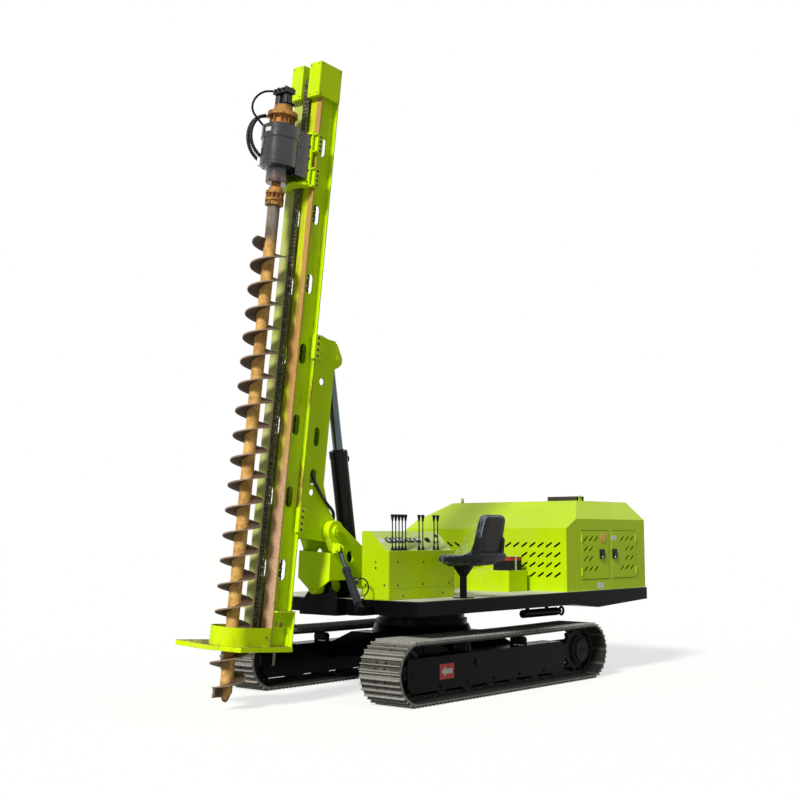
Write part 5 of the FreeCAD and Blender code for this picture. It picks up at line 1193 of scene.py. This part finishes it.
def back_at(x, y, z):
    """The back's shape: narrower at the top, raised sides, leaning."""
    t = (y / BACK_HALF[1] + 1) / 2
    side = min(1.0, abs(x) / BACK_HALF[0])
    x *= 1.0 - 0.13 * t * t - 0.022 * math.sin(math.pi * t)
    if z > 0:
        z += 0.024 * max(0.0, (side - 0.50) / 0.50) ** 1.4 * (1 - 0.5 * t)
    lean = math.atan2(0.090, 0.440)
    along = 0.025 + 0.449 * t
    off = z + 0.010 * math.sin(math.pi * t)
    return V((SEAT_X + x, 1.3715 + along * math.sin(lean) - off * math.cos(lean),
              1.345 + along * math.cos(lean) + off * math.sin(lean)))


def pad_form(name, half, corners, edge, bend):
    """Closed form with rounded corners and edges, bent to a pad's shape."""
    rows = 44
    cols = 96
    verts = []
    faces = []
    for i in range(rows + 1):
        v = -math.pi / 2 + math.pi * i / rows
        flat = power(math.cos(v), edge)
        for j in range(cols):
            u = 2 * math.pi * j / cols
            verts.append(tuple(bend(half[0] * flat * power(math.cos(u), corners),
                                    half[1] * flat * power(math.sin(u), corners),
                                    half[2] * power(math.sin(v), edge))))
    for i in range(0, rows * cols, cols):
        for j in range(cols):
            k = (j + 1) % cols
            faces.append((i + j, i + k, i + cols + k, i + cols + j))
    mesh = bpy.data.meshes.new(name)
    mesh.from_pydata(verts, [], faces)
    outward(mesh, merge=0.0002)
    return put_in_scene(name, mesh)


def settle(obj):
    """Keeps what the object's modifiers made of its mesh."""
    done = evaluated(obj)
    obj.modifiers.clear()
    obj.data = done


def points_of(obj):
    return np.array([v.co for v in obj.data.vertices])


def move_points(obj, points):
    obj.data.vertices.foreach_set("co", points.astype(np.float32).ravel())


def puff(obj):
    """Swells a pad by a short cloth simulation under pressure, no point moving farther than cap."""
    cap = 0.007
    before = points_of(obj)
    cloth = obj.modifiers.new("cloth", "CLOTH").settings
    cloth.quality = 4
    cloth.mass = 0.25
    cloth.use_pressure = True
    cloth.uniform_pressure_force = 4.0
    cloth.tension_stiffness = 12
    cloth.compression_stiffness = 12
    cloth.shear_stiffness = 12
    cloth.bending_stiffness = 0.3
    cloth.effector_weights.gravity = 0.0
    for number in range(1, 21):
        scene.frame_set(number)
    settle(obj)
    scene.frame_set(1)
    moved = points_of(obj) - before
    far = np.linalg.norm(moved, axis=1, keepdims=True)
    move_points(obj, before + moved * np.minimum(1.0, cap / np.maximum(far, 1e-9)))


def pillow(name, half, corners, edge, bend):
    """A stuffed pad."""
    obj = pad_form(name, half, corners, edge, bend)
    remesh = obj.modifiers.new("remesh", "REMESH")
    remesh.mode = "VOXEL"
    remesh.voxel_size = 0.006
    settle(obj)
    puff(obj)
    obj.data.polygons.foreach_set("use_smooth", [True] * len(obj.data.polygons))
    obj.data.materials.clear()
    obj.data.materials.append(LOOKS["vinyl"])
    return obj


def crease(obj, paths, depth, width):
    """Presses sewn channels into a pad along paths."""
    co = points_of(obj)
    normals = np.array([v.normal for v in obj.data.vertices])
    near = np.full(len(co), 9.0)
    for path in paths:
        for p in path:
            near = np.minimum(near, np.linalg.norm(co - np.array(p), axis=1))
    dent = depth * np.exp(-(near / width) ** 2 * 2.2)
    move_points(obj, co - normals * dent[:, None])
    obj.data.update()


def channels(pad, half, at, low, high, rows):
    """Two seams up a pad and three across between them."""
    edge = 0.52
    up = [[at(x * half[0], half[1] * (low + (high - low) * k / 40), half[2]) for k in range(41)]
          for x in (-edge, edge)]
    over = [[at(x / 20 * edge * half[0], half[1] * y, half[2]) for x in range(-20, 21)] for y in rows]
    crease(pad, up, 0.006, 0.014)
    crease(pad, over, 0.0045, 0.012)


def on_pad(obj, p, lift):
    """The pad's nearest point, lifted off its surface."""
    at, normal = obj.closest_point_on_mesh(p)[1:3]
    return at + normal * lift


def loop_on(pad, half, at, share, z, corners, lift):
    """A line right round a pad, laid on its surface."""
    count = 160
    path = []
    for k in range(count + 1):
        a = 2 * math.pi * k / count
        x = half[0] * share * power(math.cos(a), corners)
        y = half[1] * share * power(math.sin(a), corners)
        path.append(on_pad(pad, at(x, y, z), lift))
    return path


def seat_seams(pan, back):
    seams = Shape()
    for pad, half, at, z, corners in ((pan, PAN_HALF, pan_at, 0.026, PAN_CORNERS),
                                      (pan, PAN_HALF, pan_at, -0.026, PAN_CORNERS),
                                      (back, BACK_HALF, back_at, 0.022, BACK_CORNERS)):
        seams.tube(loop_on(pad, half, at, 1.0, z, corners, 0.0010), 0.0030)
    seams.done("seat_seams", "upper", "seat_vinyl", "vinyl", angle=70)
    rim = Shape()
    rim.tube(loop_on(back, BACK_HALF, back_at, 0.93, -BACK_HALF[2], 0.24, 0.0015), 0.0042)
    rim.done("seat_back_piping", "upper", "seat_vinyl", "piping", angle=70)


def seat_back_panel(back):
    """Dark panel let into the rear of the back."""
    cells = 18
    grid = []
    for i in range(cells + 1):
        b = 2 * i / cells - 1
        for j in range(cells + 1):
            a = 2 * j / cells - 1
            p = back_at(BACK_HALF[0] * 0.86 * a * math.sqrt(1 - 0.18 * b * b),
                        BACK_HALF[1] * 0.86 * b * math.sqrt(1 - 0.18 * a * a), -BACK_HALF[2])
            grid.append(on_pad(back, p, 0.0035 - 0.0045 * max(abs(a), abs(b)) ** 6))
    panel = Shape()
    panel.add(grid, grid_faces(cells, cells))
    shell = panel.done("seat_back_panel", "upper", "seat_vinyl", "panel", angle=70)
    thick = shell.modifiers.new("thick", "SOLIDIFY")
    thick.thickness = 0.006
    thick.offset = -1.0


def seat_sides():
    """Side wings and the roll between pan and back."""
    wings = Shape()
    side = ((0.990, 1.342), (1.395, 1.342), (1.448, 1.385), (1.470, 1.560), (1.415, 1.640), (1.372, 1.520),
            (1.335, 1.445), (1.230, 1.402), (1.010, 1.392))
    for x in (0.190, -0.190):
        wings.prism(side, (SEAT_X + x, 0, 0), Y, Z, 0.034)
    wings.done("seat_wings", "upper", "seat_vinyl", "vinyl", bevel=0.013, angle=70)
    roll = Shape()
    roll.turned((SEAT_X - 0.222, 1.425, 1.392), X, [
        (0, 0), (0.024, 0.004), (0.040, 0.016), (0.046, 0.036),
        (0.046, 0.408), (0.040, 0.428), (0.024, 0.440), (0, 0.444)], 28)
    roll.done("seat_lower_roll", "upper", "seat_vinyl", "vinyl", angle=70)


def seat():
    pan = pillow("seat_pan_cushion", PAN_HALF, PAN_CORNERS, 0.52, pan_at)
    back = pillow("seat_back_cushion", BACK_HALF, BACK_CORNERS, 0.50, back_at)
    channels(pan, PAN_HALF, pan_at, -0.70, 0.80, (-0.62, -0.15, 0.32))
    channels(back, BACK_HALF, back_at, -0.85, 0.80, (-0.45, 0.0, 0.45))
    for pad in (pan, back):
        more = pad.modifiers.new("smooth", "SUBSURF")
        more.levels = 1
        more.render_levels = 1
        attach(pad, "upper")
        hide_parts("seat")
    seat_seams(pan, back)
    seat_back_panel(back)
    seat_sides()
    film_over(pan, "seat_film_pan", lambda p: p.z > 1.33 and p.y < 1.36)
    film_over(back, "seat_film_back", lambda p: p.z > 1.44 and p.y < 1.392 + 0.2045 * (p.z - 1.345))
    film_web(pan, back)


def film(name, verts, faces, pads):
    """A sheet of wrapping film over the pads it rests on; the pads argument is not used."""
    shape = Shape()
    shape.add(verts, faces)
    obj = shape.done(name, "upper", "seat_vinyl", "film", angle=180)
    [pad.name for pad in pads]


def film_web(pan, back):
    """The film's free span, pulled straight from the middle of the pan to the top of the back."""
    rows = 26
    verts = []
    wide = [-1.0, -0.99, -0.98, -0.97] + [-0.9 + 0.18 * k for k in range(11)] + [0.97, 0.98, 0.99, 1.0]
    depth = [0.0, 0.35, 0.70, 0.95] + [1.0] * 11 + [0.95, 0.70, 0.35, 0.0]
    for i in range(rows + 1):
        t = i / rows
        inner = V((0, 1.352 + 0.070 * t, 1.412 + 0.385 * t))
        outer = V((0, 1.130 + 0.285 * t, 1.424 + 0.380 * t))
        for a, d in zip(wide, depth):
            p = inner.lerp(outer, d)
            wave = 0.0022 * math.sin(34 * a + 21 * t) + 0.0016 * math.sin(57 * t + 13 * a)
            p.x = SEAT_X + a * (0.232 - 0.020 * t) + wave * (1 - abs(d - 0.5))
            p.y += 0.012 * math.sin(math.pi * t) * d * 0.8 + wave
            verts.append(p)
    film("seat_film_web", verts, grid_faces(rows, len(wide) - 1), (pan, back))


def film_over(pad, name, keep):
    """Wrapping film over a pad, with slack folds standing off it."""
    source = pad.data
    used = {}
    verts = []
    faces = []
    for face in source.polygons:
        if not keep(face.center):
            continue
        for i in face.vertices:
            if i not in used:
                used[i] = len(verts)
                p = source.vertices[i].co
                swell = (math.sin(31 * p.x + 23 * p.z + 3 * math.sin(17 * p.y))
                         + math.sin(19 * p.y - 37 * p.x + 11 * p.z) + math.sin(53 * p.z + 41 * p.y))
                verts.append(p + source.vertices[i].normal * (0.0065 + 0.0016 * swell))
        faces.append([used[i] for i in face.vertices])
    film(name, verts, faces, (pad,))


# ---------------------------------------------------------------- bracket, cradle and cylinders
def pin_cap(shape, at, axis, r, bolts=3):
    """Ringed cap over a pin end, with its keeper bolts."""
    face = V(at) + axis * 0.0075
    shape.turned(at, axis, [(r, -0.002), (r, 0.0045), (r * 0.80, 0.0050), (r * 0.78, 0.0030),
                            (r * 0.58, 0.0030), (r * 0.55, 0.0075), (0, 0.0075)], 36)
    e1 = square_to(axis)
    shape.bolts(bolts, r * 0.32, face, e1, axis.cross(e1), axis, r * 0.13, 0.5, washer=False)


def clamp_bolts(shape, x, zones):
    """Four bolts in each zone of height, on both sides of a clamp on the mast."""
    for low, high in zones:
        for sign in (1, -1):
            for k in range(4):
                shape.bolt((x, sign * 0.2222, low + (high - low) * (k + 0.5) / 4), Y * sign, 0.0115, 0.010)


def bracket_details():
    caps = Shape(BRACKET)
    for sign in (1, -1):
        pin_cap(caps, (LUFF_X, sign * 0.240, LUFF_Z), Y * sign, 0.050)
        pin_cap(caps, (RAM_X, sign * 0.232, RAM_Z), Y * sign, 0.056)
    caps.done("bracket_pin_caps", "tilt_bracket", "lime_paint", "cradle", bevel=0.0008)
    nose = Shape(BRACKET)
    nose.turned((1.734, 0, 1.090), X, [(0.041, -0.002), (0.041, 0.004), (0.036, 0.006), (0.034, 0.003),
                                       (0.020, 0.003), (0.019, 0.009), (0, 0.009)], 36)
    nose.bolts(4, 0.028, (1.737, 0, 1.090), Y, Z, X, 0.0050, 0.78, washer=False)
    for x, axis in ((1.6067, -X), (1.6933, X)):
        nose.turned((x, 0.275, 1.484), axis, plug(0.024, 0.004, 0.018, 0.006, foot=-0.001), 28)
    nose.done("bracket_nose_cap", "tilt_bracket", "lime_paint", "cradle", bevel=0.0008)
    foot = Shape(TILT_RAM)
    foot.turned((0.0505, 0, 0), X, plug(0.0175, 0.001, 0.012, 0.004, foot=-0.004), 24)
    foot.turned((0.0502, 0, 0), X, [(0.027, -0.0100), (0.027, -0.004), (0.0185, -0.002), (0.0185, 0.0)], 28)
    foot.done("tilt_foot_pin_cap", "upper", "black_paint", "frame")


def cradle_details():
    bolts = Shape(MAST)
    clamp_bolts(bolts, 2.139, ((1.610, 1.850), (3.310, 3.550)))
    bolts.done("cradle_clamp_bolts", "cradle", "black_paint", "bolt")
    rods = Shape(MAST)
    for sign in (1, -1):
        pin_cap(rods, (1.750, sign * 0.141, 3.370), Y * sign, 0.033, bolts=2)
    rods.done("cradle_rod_pin_caps", "cradle", "lime_paint", "cradle")


def luff_ram_details():
    """Bolted gland, foot ring and two ports."""
    ram = Shape(LUFF_RAM)
    ram.turned((0, 0, 1.3081), Z, [(0.0940, -0.001), (0.0940, 0.004), (0.0900, 0.008), (0.0640, 0.010),
                                   (0.0600, 0.018), (0.0530, 0.019), (0.0530, 0.0)], 40)
    ram.bolts(10, 0.078, (0, 0, 1.3155), X, Y, Z, 0.0070, washer=False)
    ram.turned((0, 0, 0.118), Z, band(0.0902, 0.0945, 0.003, 0.015), 40)
    for z in (0.210, 1.215):
        ram.block((-0.124, -0.026, z - 0.030), (-0.080, 0.026, z + 0.030))
        ram.turned((-0.124, 0, z), -X, union(0.017, 0.010, 0.012, 0.012, 0.024), 6)
    ram.done("luff_barrel_fittings", "luff_barrel", "black_paint", "ram", bevel=0.0010)


def tilt_ram_details():
    """Gland, its hexagon collar and two ports."""
    ram = Shape(TILT_RAM)
    ram.turned((0, 0, 0.4281), Z, [(0.0440, -0.001), (0.0440, 0.003), (0.0410, 0.006), (0.0300, 0.007),
                                   (0.0280, 0.013), (0.0238, 0.013), (0.0238, 0.0)], 32)
    ram.turned((0, 0, 0.392), Z, band(0.0452, 0.0468, 0.002, 0.032), 6)
    for at in ((-0.052, 0.028, 0.285), (-0.040, 0.032, 0.090)):
        ram.turned(at, Y, [(0.012, 0), (0.012, 0.006), (0.009, 0.008)], 6)
    ram.done("tilt_barrel_fittings", "tilt_barrel", "black_paint", "ram", bevel=0.0008)


def luff_rod_wiper():
    wiper = Shape(LUFF_RAM)
    wiper.turned((0, 0, 1.3271), Z, [(0.0575, 0), (0.0575, 0.0035), (0.0530, 0.0055), (0.0525, 0.0)], 36)
    wiper.done("luff_rod_wiper", "luff_barrel", "hose_rubber", "rubber")


# ---------------------------------------------------------------- mast, chain and drive head
def chain_pins(count):
    """Pins of the feed chain, evenly spaced round its racetrack."""
    low = 0.662
    high = 6.060
    r = 0.115
    run = high - low
    turn = math.pi * r
    pins = []
    for k in range(count):
        s = 2 * (run + turn) * k / count
        far, s = divmod(s, run + turn)
        way = -1 if far else 1
        end = high if way > 0 else low
        if s < run:
            pins.append(V((CHAIN_X + way * r, 0, end - way * (run - s))))
        else:
            a = (s - run) / r
            pins.append(V((CHAIN_X + way * r * math.cos(a), 0, end + way * r * math.sin(a))))
    return pins


def link_outline(gap):
    """Waisted plate round two pins a gap apart."""
    outline = []
    for centre, start, waist in ((gap, -75, 0.0115), (0.0, 105, -0.0115)):
        for j in range(4):
            p = direction(start + 50 * j) * 0.0152
            outline.append((centre + p.x, p.y))
        outline.append((gap / 2, waist))
    return outline


def chain():
    """Double roller chain, built link by link."""
    pins = chain_pins(302)
    links = Shape(MAST)
    for k, p in enumerate(pins):
        step = pins[(k + 1) % len(pins)] - p
        d = step.normalized()
        out = d.cross(Y).normalized()
        outer = (-0.0335, -0.0015, 0.0305)
        inner = (-0.0300, -0.0075, 0.0045, 0.0270)
        for y in (outer if k % 2 else inner):
            links.prism(link_outline(step.length), p + Y * y, d, out, 0.003)
        roller = [(0.0112, 0), (0.0112, 0.0188)]
        pin = [(0.0052, 0), (0.0052, 0.0716)]
        for y in (-0.0268, 0.0078):
            links.turned(p + Y * y, Y, roller, 9)
        links.turned(p - Y * 0.0358, Y, pin, 7)
    obj = links.done("feed_roller_chain", "mast", "rusty_steel", "chain", angle=30)
    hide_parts("feed_chain")


def crown_details():
    bolts = Shape(MAST)
    for sign in (1, -1):
        for x in (2.163, 2.417):
            for z in CROWN_ROWS:
                bolts.bolt((x, sign * 0.2012, z), Y * sign, 0.0085, washer=False)
    for y in (-0.178, -0.068, 0.068, 0.178):
        for z in CROWN_ROWS:
            bolts.bolt((2.4402, y, z), X, 0.0070, washer=False)
    bolts.done("crown_bolts", "mast", "black_paint", "bolt")
    lids = Shape(MAST)
    for sign in (1, -1):
        lids.block((2.146, sign * 0.2008, 5.921), (2.434, sign * 0.2038, 6.264))
    lids.done("crown_side_lids", "mast", "lime_paint", "head", bevel=0.0010)


def mast_foot_details():
    foot = Shape(MAST)
    for sign in (1, -1):
        out = Y * sign
        foot.turned((2.260, sign * 0.1855, 0.732), out, plug(0.0275, 0.004, 0.020, 0.006), 24)
        foot.turned((2.260, sign * 0.1905, 0.732), out, [(0.0125, 0), (0.0125, 0.011), (0, 0.011)], 6)
        for x in (2.165, 2.330):
            foot.bolt((x, sign * 0.218, 0.8602), Z, 0.0105)
        foot.bolt((2.440, sign * 0.1992, 0.610), out, 0.009)
    foot.turned((2.180, 0.060, 0.482), -Z, [(0.0235, 0), (0.0235, 0.012), (0.014, 0.013)], 6)
    foot.done("mast_foot_fittings", "mast", "rusty_steel", "rust_bolt")


def feed_motor_details():
    """Bolts and cap on the feed motor's end, and its two ports."""
    motor = Shape(MAST)
    motor.bolts(6, 0.048, (CHAIN_X, -0.3262, FEED_MOTOR_Z), X, Z, -Y, 0.0065, washer=False)
    motor.turned((CHAIN_X, -0.3612, FEED_MOTOR_Z), -Y, plug(0.036, 0.002, 0.020, 0.003), 24)
    for up in (0.026, 0.056):
        motor.turned((2.3602, -0.281, FEED_MOTOR_Z + up), X, plug(0.014, 0.012, 0.010, 0.014), 6)
    motor.done("feed_motor_fittings", "mast", "black_paint", "frame", bevel=0.0006)


def carriage_details():
    bolts = Shape(MAST)
    clamp_bolts(bolts, 2.371, ((4.980, 5.170), (5.330, 5.520)))
    for y in (-0.162, 0.162):
        for k in range(5):
            bolts.bolt((2.4452, y, 5.020 + 0.120 * k), X, 0.0100)
    bolts.done("carriage_bolts", "drive_head", "black_paint", "bolt")


def gearbox_details():
    """Flange bolts, two raised bands, plugs and the mount's side bolts."""
    box = Shape(MAST)
    box.bolts(12, 0.140, (AUGER_X, 0, GEARBOX_FOOT), X, Y, -Z, 0.0075, 0.1)
    box.bolts(18, 0.1560, (AUGER_X, 0, GEARBOX_TOP), X, Y, Z, 0.0075, washer=False)
    box.turned((AUGER_X, 0, 5.384), Z, band(0.1890, 0.1935, 0.003, 0.015), 56)
    box.turned((AUGER_X, 0, 5.135), Z, band(0.1795, 0.1825, 0.002, 0.016), 56)
    for a, z in ((-12, 5.310), (-22, 5.260), (-14, 5.210)):
        n = direction(a)
        box.turned(V((AUGER_X, 0, z)) + n * 0.1790, n, plug(0.0135, 0.006, 0.0095, 0.008), 6)
    for sign in (-1, 1):
        for k in range(4):
            box.bolt((2.575, sign * 0.16501, 5.085 + 0.125 * k), Y * sign, 0.0085, washer=False)
    box.done("gearbox_fittings", "drive_head", "gear_black", "gear", bevel=0.0006)


def gearbox_label():
    """Blank label bent round the gearbox."""
    rows = 5
    verts = []
    faces = [[0, 1, 3, 2]]
    for k in range(rows):
        n = direction(-4 + 5 * k)
        for z in (5.425, 5.465):
            p = V((AUGER_X, 0, z)) + n * 0.1904
            verts += [p, p + n * 0.0016]
    for a in range(0, 4 * rows - 4, 4):
        b = a + 4
        faces += [[a, b, b + 1, a + 1], [a + 2, a + 3, b + 3, b + 2],
                  [a + 1, b + 1, b + 3, a + 3], [a, a + 2, b + 2, b]]
    tag = Shape(MAST)
    tag.add(verts, faces + [[b, b + 2, b + 3, b + 1]])
    tag.done("blank_label_gearbox", "drive_head", "gear_black", "white")


def studs(shape, count, circle, foot, r, long, nut_r, nuts, start=0.0):
    """Studs round the auger axis, with hexagon nuts at their heights above the studs' feet."""
    for p in ring_of(count, circle, (AUGER_X, 0, foot), X, Y, start):
        shape.turned(p, Z, [(r, 0), (r, long)], 8)
        for up in nuts:
            shape.turned(p + Z * up, Z, [(nut_r, 0), (nut_r, 0.010), (0.009, 0.011)], 6)


def flange_stack():
    """Studs, bolts and gussets between the gearbox and the drive motors."""
    stack = Shape(MAST)
    studs(stack, 10, 0.1215, STACK_LOW, 0.0075, 0.088, 0.0125, (0.002, 0.074), 0.12)
    stack.bolts(12, 0.1300, (AUGER_X, 0, STACK_HIGH), X, Y, Z, 0.0090, 0.05)
    gusset = ((0.085, STACK_LOW), (0.130, STACK_LOW), (0.103, STACK_LOW + 0.075))
    for k in range(8):
        n = direction(45 * k + math.degrees(0.05))
        stack.prism(gusset, V((AUGER_X, 0, 0)) - Z.cross(n) * 0.005, n, Z, -0.010)
    stack.done("flange_stack_bolts", "drive_head", "rusty_steel", "rust", bevel=0.0008)


def head_motor_details():
    """Bands and tie rods of the two drive motors, and the hose unions above and in front."""
    top = Shape(MAST)
    for y in (-0.050, 0.050):
        foot = V((AUGER_X + 0.010, y, MOTOR_Z + 0.007))
        for up in (0, 0.096):
            top.turned(foot + Z * up, Z, band(0.0415, 0.0462, 0.002, 0.014), 26)
        for p in ring_of(4, 0.0430, foot, X, Y, 0.8):
            top.turned(p, Z, [(0.0048, 0), (0.0048, 0.112)], 8)
    for x, y in ((2.672, -0.075), (2.672, 0.0), (2.672, 0.075), (2.745, -0.055), (2.745, 0.055)):
        top.turned((x, y, 5.9048), Z, union(0.0125, 0.010, 0.0090, 0.012, 0.021), 6)
    for y in (-0.062, 0.0, 0.062):
        top.turned((2.7702, y, 5.8800), X, union(0.0120, 0.009, 0.0085, 0.011, 0.020), 6)
    top.done("head_motor_fittings", "drive_head", "black_paint", "frame", bevel=0.0006)


def gearbox_ports():
    ports = Shape(MAST)
    for at, d in (((2.814, -0.139, 5.216), (0.84, -0.26, 0.47)),
                  ((2.787, -0.158, 5.166), (0.80, -0.38, 0.47))):
        start = V(at) - V(d).normalized() * 0.020
        ports.turned(start, d, [(0.024, 0), (0.024, 0.014), (0.020, 0.016), (0.020, 0.026)], 6)
    ports.prism([(-0.030, -0.036), (0.030, -0.036), (0.030, 0.036), (-0.030, 0.036)], (2.800, -0.152, 5.160),
                (0.80, 0.60, 0), Z, 0.024)
    ports.done("gearbox_ports", "drive_head", "chrome_rod", "zinc", bevel=0.0008)


def auger_bit():
    """Pilot bit and cutting teeth below the first flight."""
    bit = Shape(MAST)
    half = ((0.0, 0.002), (0.018, 0.014), (0.040, 0.052), (0.062, 0.100), (0.0, 0.100))
    for sign in (1, -1):
        bit.prism(half, V((AUGER_X, 0, 0)) - Y * (sign * 0.007), X * sign, Z, 0.014)
    d = direction(8)
    tooth = ((-0.018, 0.0), (0.018, 0.0), (0.012, 0.0), (0.010, 0.034), (-0.010, 0.034))
    for share in (0.45, 0.70, 0.92):
        bit.prism(tooth, V((AUGER_X, 0, 0.050)) + d * (0.175 * share), d, Z, 0.016)
    bit.done("auger_bit_teeth", "auger", "rusty_steel", "auger", bevel=0.0015)


def coupling():
    """The coupling's studs, nuts and lugs."""
    ring = Shape(MAST)
    studs(ring, 12, 0.0800, COUPLING_FOOT, 0.0085, 0.052, 0.0130, (0.006,))
    for k in range(6):
        n = direction(60 * k + math.degrees(0.26))
        lug = ((0.052, 4.728), (0.0895, 4.728), (0.0895, 4.772), (0.052, 4.772))
        ring.prism(lug, V((AUGER_X, 0, 0)) + Z.cross(n) * 0.010, n, Z, 0.020)
    ring.done("coupling_bolts", "auger", "rusty_steel", "rust", bevel=0.0008)


for draw in (hoses, undercarriage_details, hood_details, console_gauges, lever_boots, console_panels,
             battery_details, seat, bracket_details, cradle_details, luff_ram_details, tilt_ram_details,
             luff_rod_wiper, chain, crown_details, mast_foot_details, feed_motor_details, carriage_details,
             gearbox_details, gearbox_label, flange_stack, head_motor_details, gearbox_ports, auger_bit,
             coupling):
    draw()


# ---------------------------------------------------------------- floor, light and camera
def new_node(tree, kind, **inputs):
    node = tree.nodes.new("ShaderNode" + kind)
    for name, value in inputs.items():
        node.inputs[name].default_value = value
    return node


def seen(tree):
    """1 where the camera sees a surface: directly, through glass or mirrored."""
    path = new_node(tree, "LightPath")
    found = path.outputs["Is Camera Ray"]
    for ray in ("Is Transmission Ray", "Is Glossy Ray"):
        either = new_node(tree, "Math")
        either.operation = "MAXIMUM"
        tree.links.new(found, either.inputs[0])
        tree.links.new(path.outputs[ray], either.inputs[1])
        found = either.outputs[0]
    return found


def pale_floor():
    """Matte ground with a glow that only the camera sees."""
    size = 90
    mesh = bpy.data.meshes.new("floor")
    corners = [(-size, -size, 0), (size, -size, 0), (size, size, 0), (-size, size, 0)]
    mesh.from_pydata(corners, [], [(0, 1, 2, 3)])
    put_in_scene("floor", mesh)
    mat = bpy.data.materials.new("pale_floor")
    mat.use_nodes = True
    tree = mat.node_tree
    tree.nodes.clear()
    out = new_node(tree, "OutputMaterial")
    both = new_node(tree, "AddShader")
    matte = new_node(tree, "BsdfDiffuse", Color=(0.35, 0.36, 0.34, 1))
    glow = new_node(tree, "Emission", Color=(1, 1, 1, 1))
    scale = new_node(tree, "Math")
    scale.operation = "MULTIPLY"
    scale.inputs[1].default_value = 0.70
    tree.links.new(seen(tree), scale.inputs[0])
    tree.links.new(scale.outputs[0], glow.inputs["Strength"])
    tree.links.new(matte.outputs[0], both.inputs[0])
    tree.links.new(glow.outputs[0], both.inputs[1])
    tree.links.new(both.outputs[0], out.inputs[0])
    mesh.materials.append(mat)


def studio():
    """Soft sky light on the machine, white where the camera looks past it."""
    world = bpy.data.worlds.new("studio")
    scene.world = world
    world.use_nodes = True
    tree = world.node_tree
    tree.nodes.clear()
    out = new_node(tree, "OutputWorld")
    soft = new_node(tree, "Background", Color=(0.90, 1.0, 0.96, 1), Strength=0.23)
    white = new_node(tree, "Background", Color=(1, 1, 1, 1), Strength=1.0)
    pick = new_node(tree, "MixShader")
    tree.links.new(seen(tree), pick.inputs[0])
    tree.links.new(soft.outputs[0], pick.inputs[1])
    tree.links.new(white.outputs[0], pick.inputs[2])
    tree.links.new(pick.outputs[0], out.inputs[0])


def sun():
    lamp = bpy.data.lights.new("key", "SUN")
    lamp.energy = 3.35
    lamp.angle = math.radians(11)
    lamp.color = (1.0, 0.985, 0.95)
    key = put_in_scene("key", lamp)
    key.rotation_euler = V((0.77, 0.15, 0.61)).to_track_quat("Z", "Y").to_euler()


def photo_camera():
    """Camera in front and to the left, looking slightly up at the machine."""
    yaw = math.radians(40.4)
    pitch = math.radians(6.5)
    flat = V((-math.cos(yaw), -math.sin(yaw), 0))
    right = flat.cross(Z)
    ahead = flat * math.cos(pitch) + Z * math.sin(pitch)
    lens = bpy.data.cameras.new("camera")
    lens.sensor_width = 36.0
    lens.lens = 53.55
    lens.clip_end = 400.0
    camera = put_in_scene("camera", lens)
    turn = Matrix((right, right.cross(ahead), -ahead)).transposed().to_4x4()
    camera.matrix_world = Matrix.Translation((10.3, 8.45, 1.6)) @ turn
    scene.camera = camera


pale_floor()
studio()
sun()
photo_camera()
scene.view_settings.view_transform = "Standard"
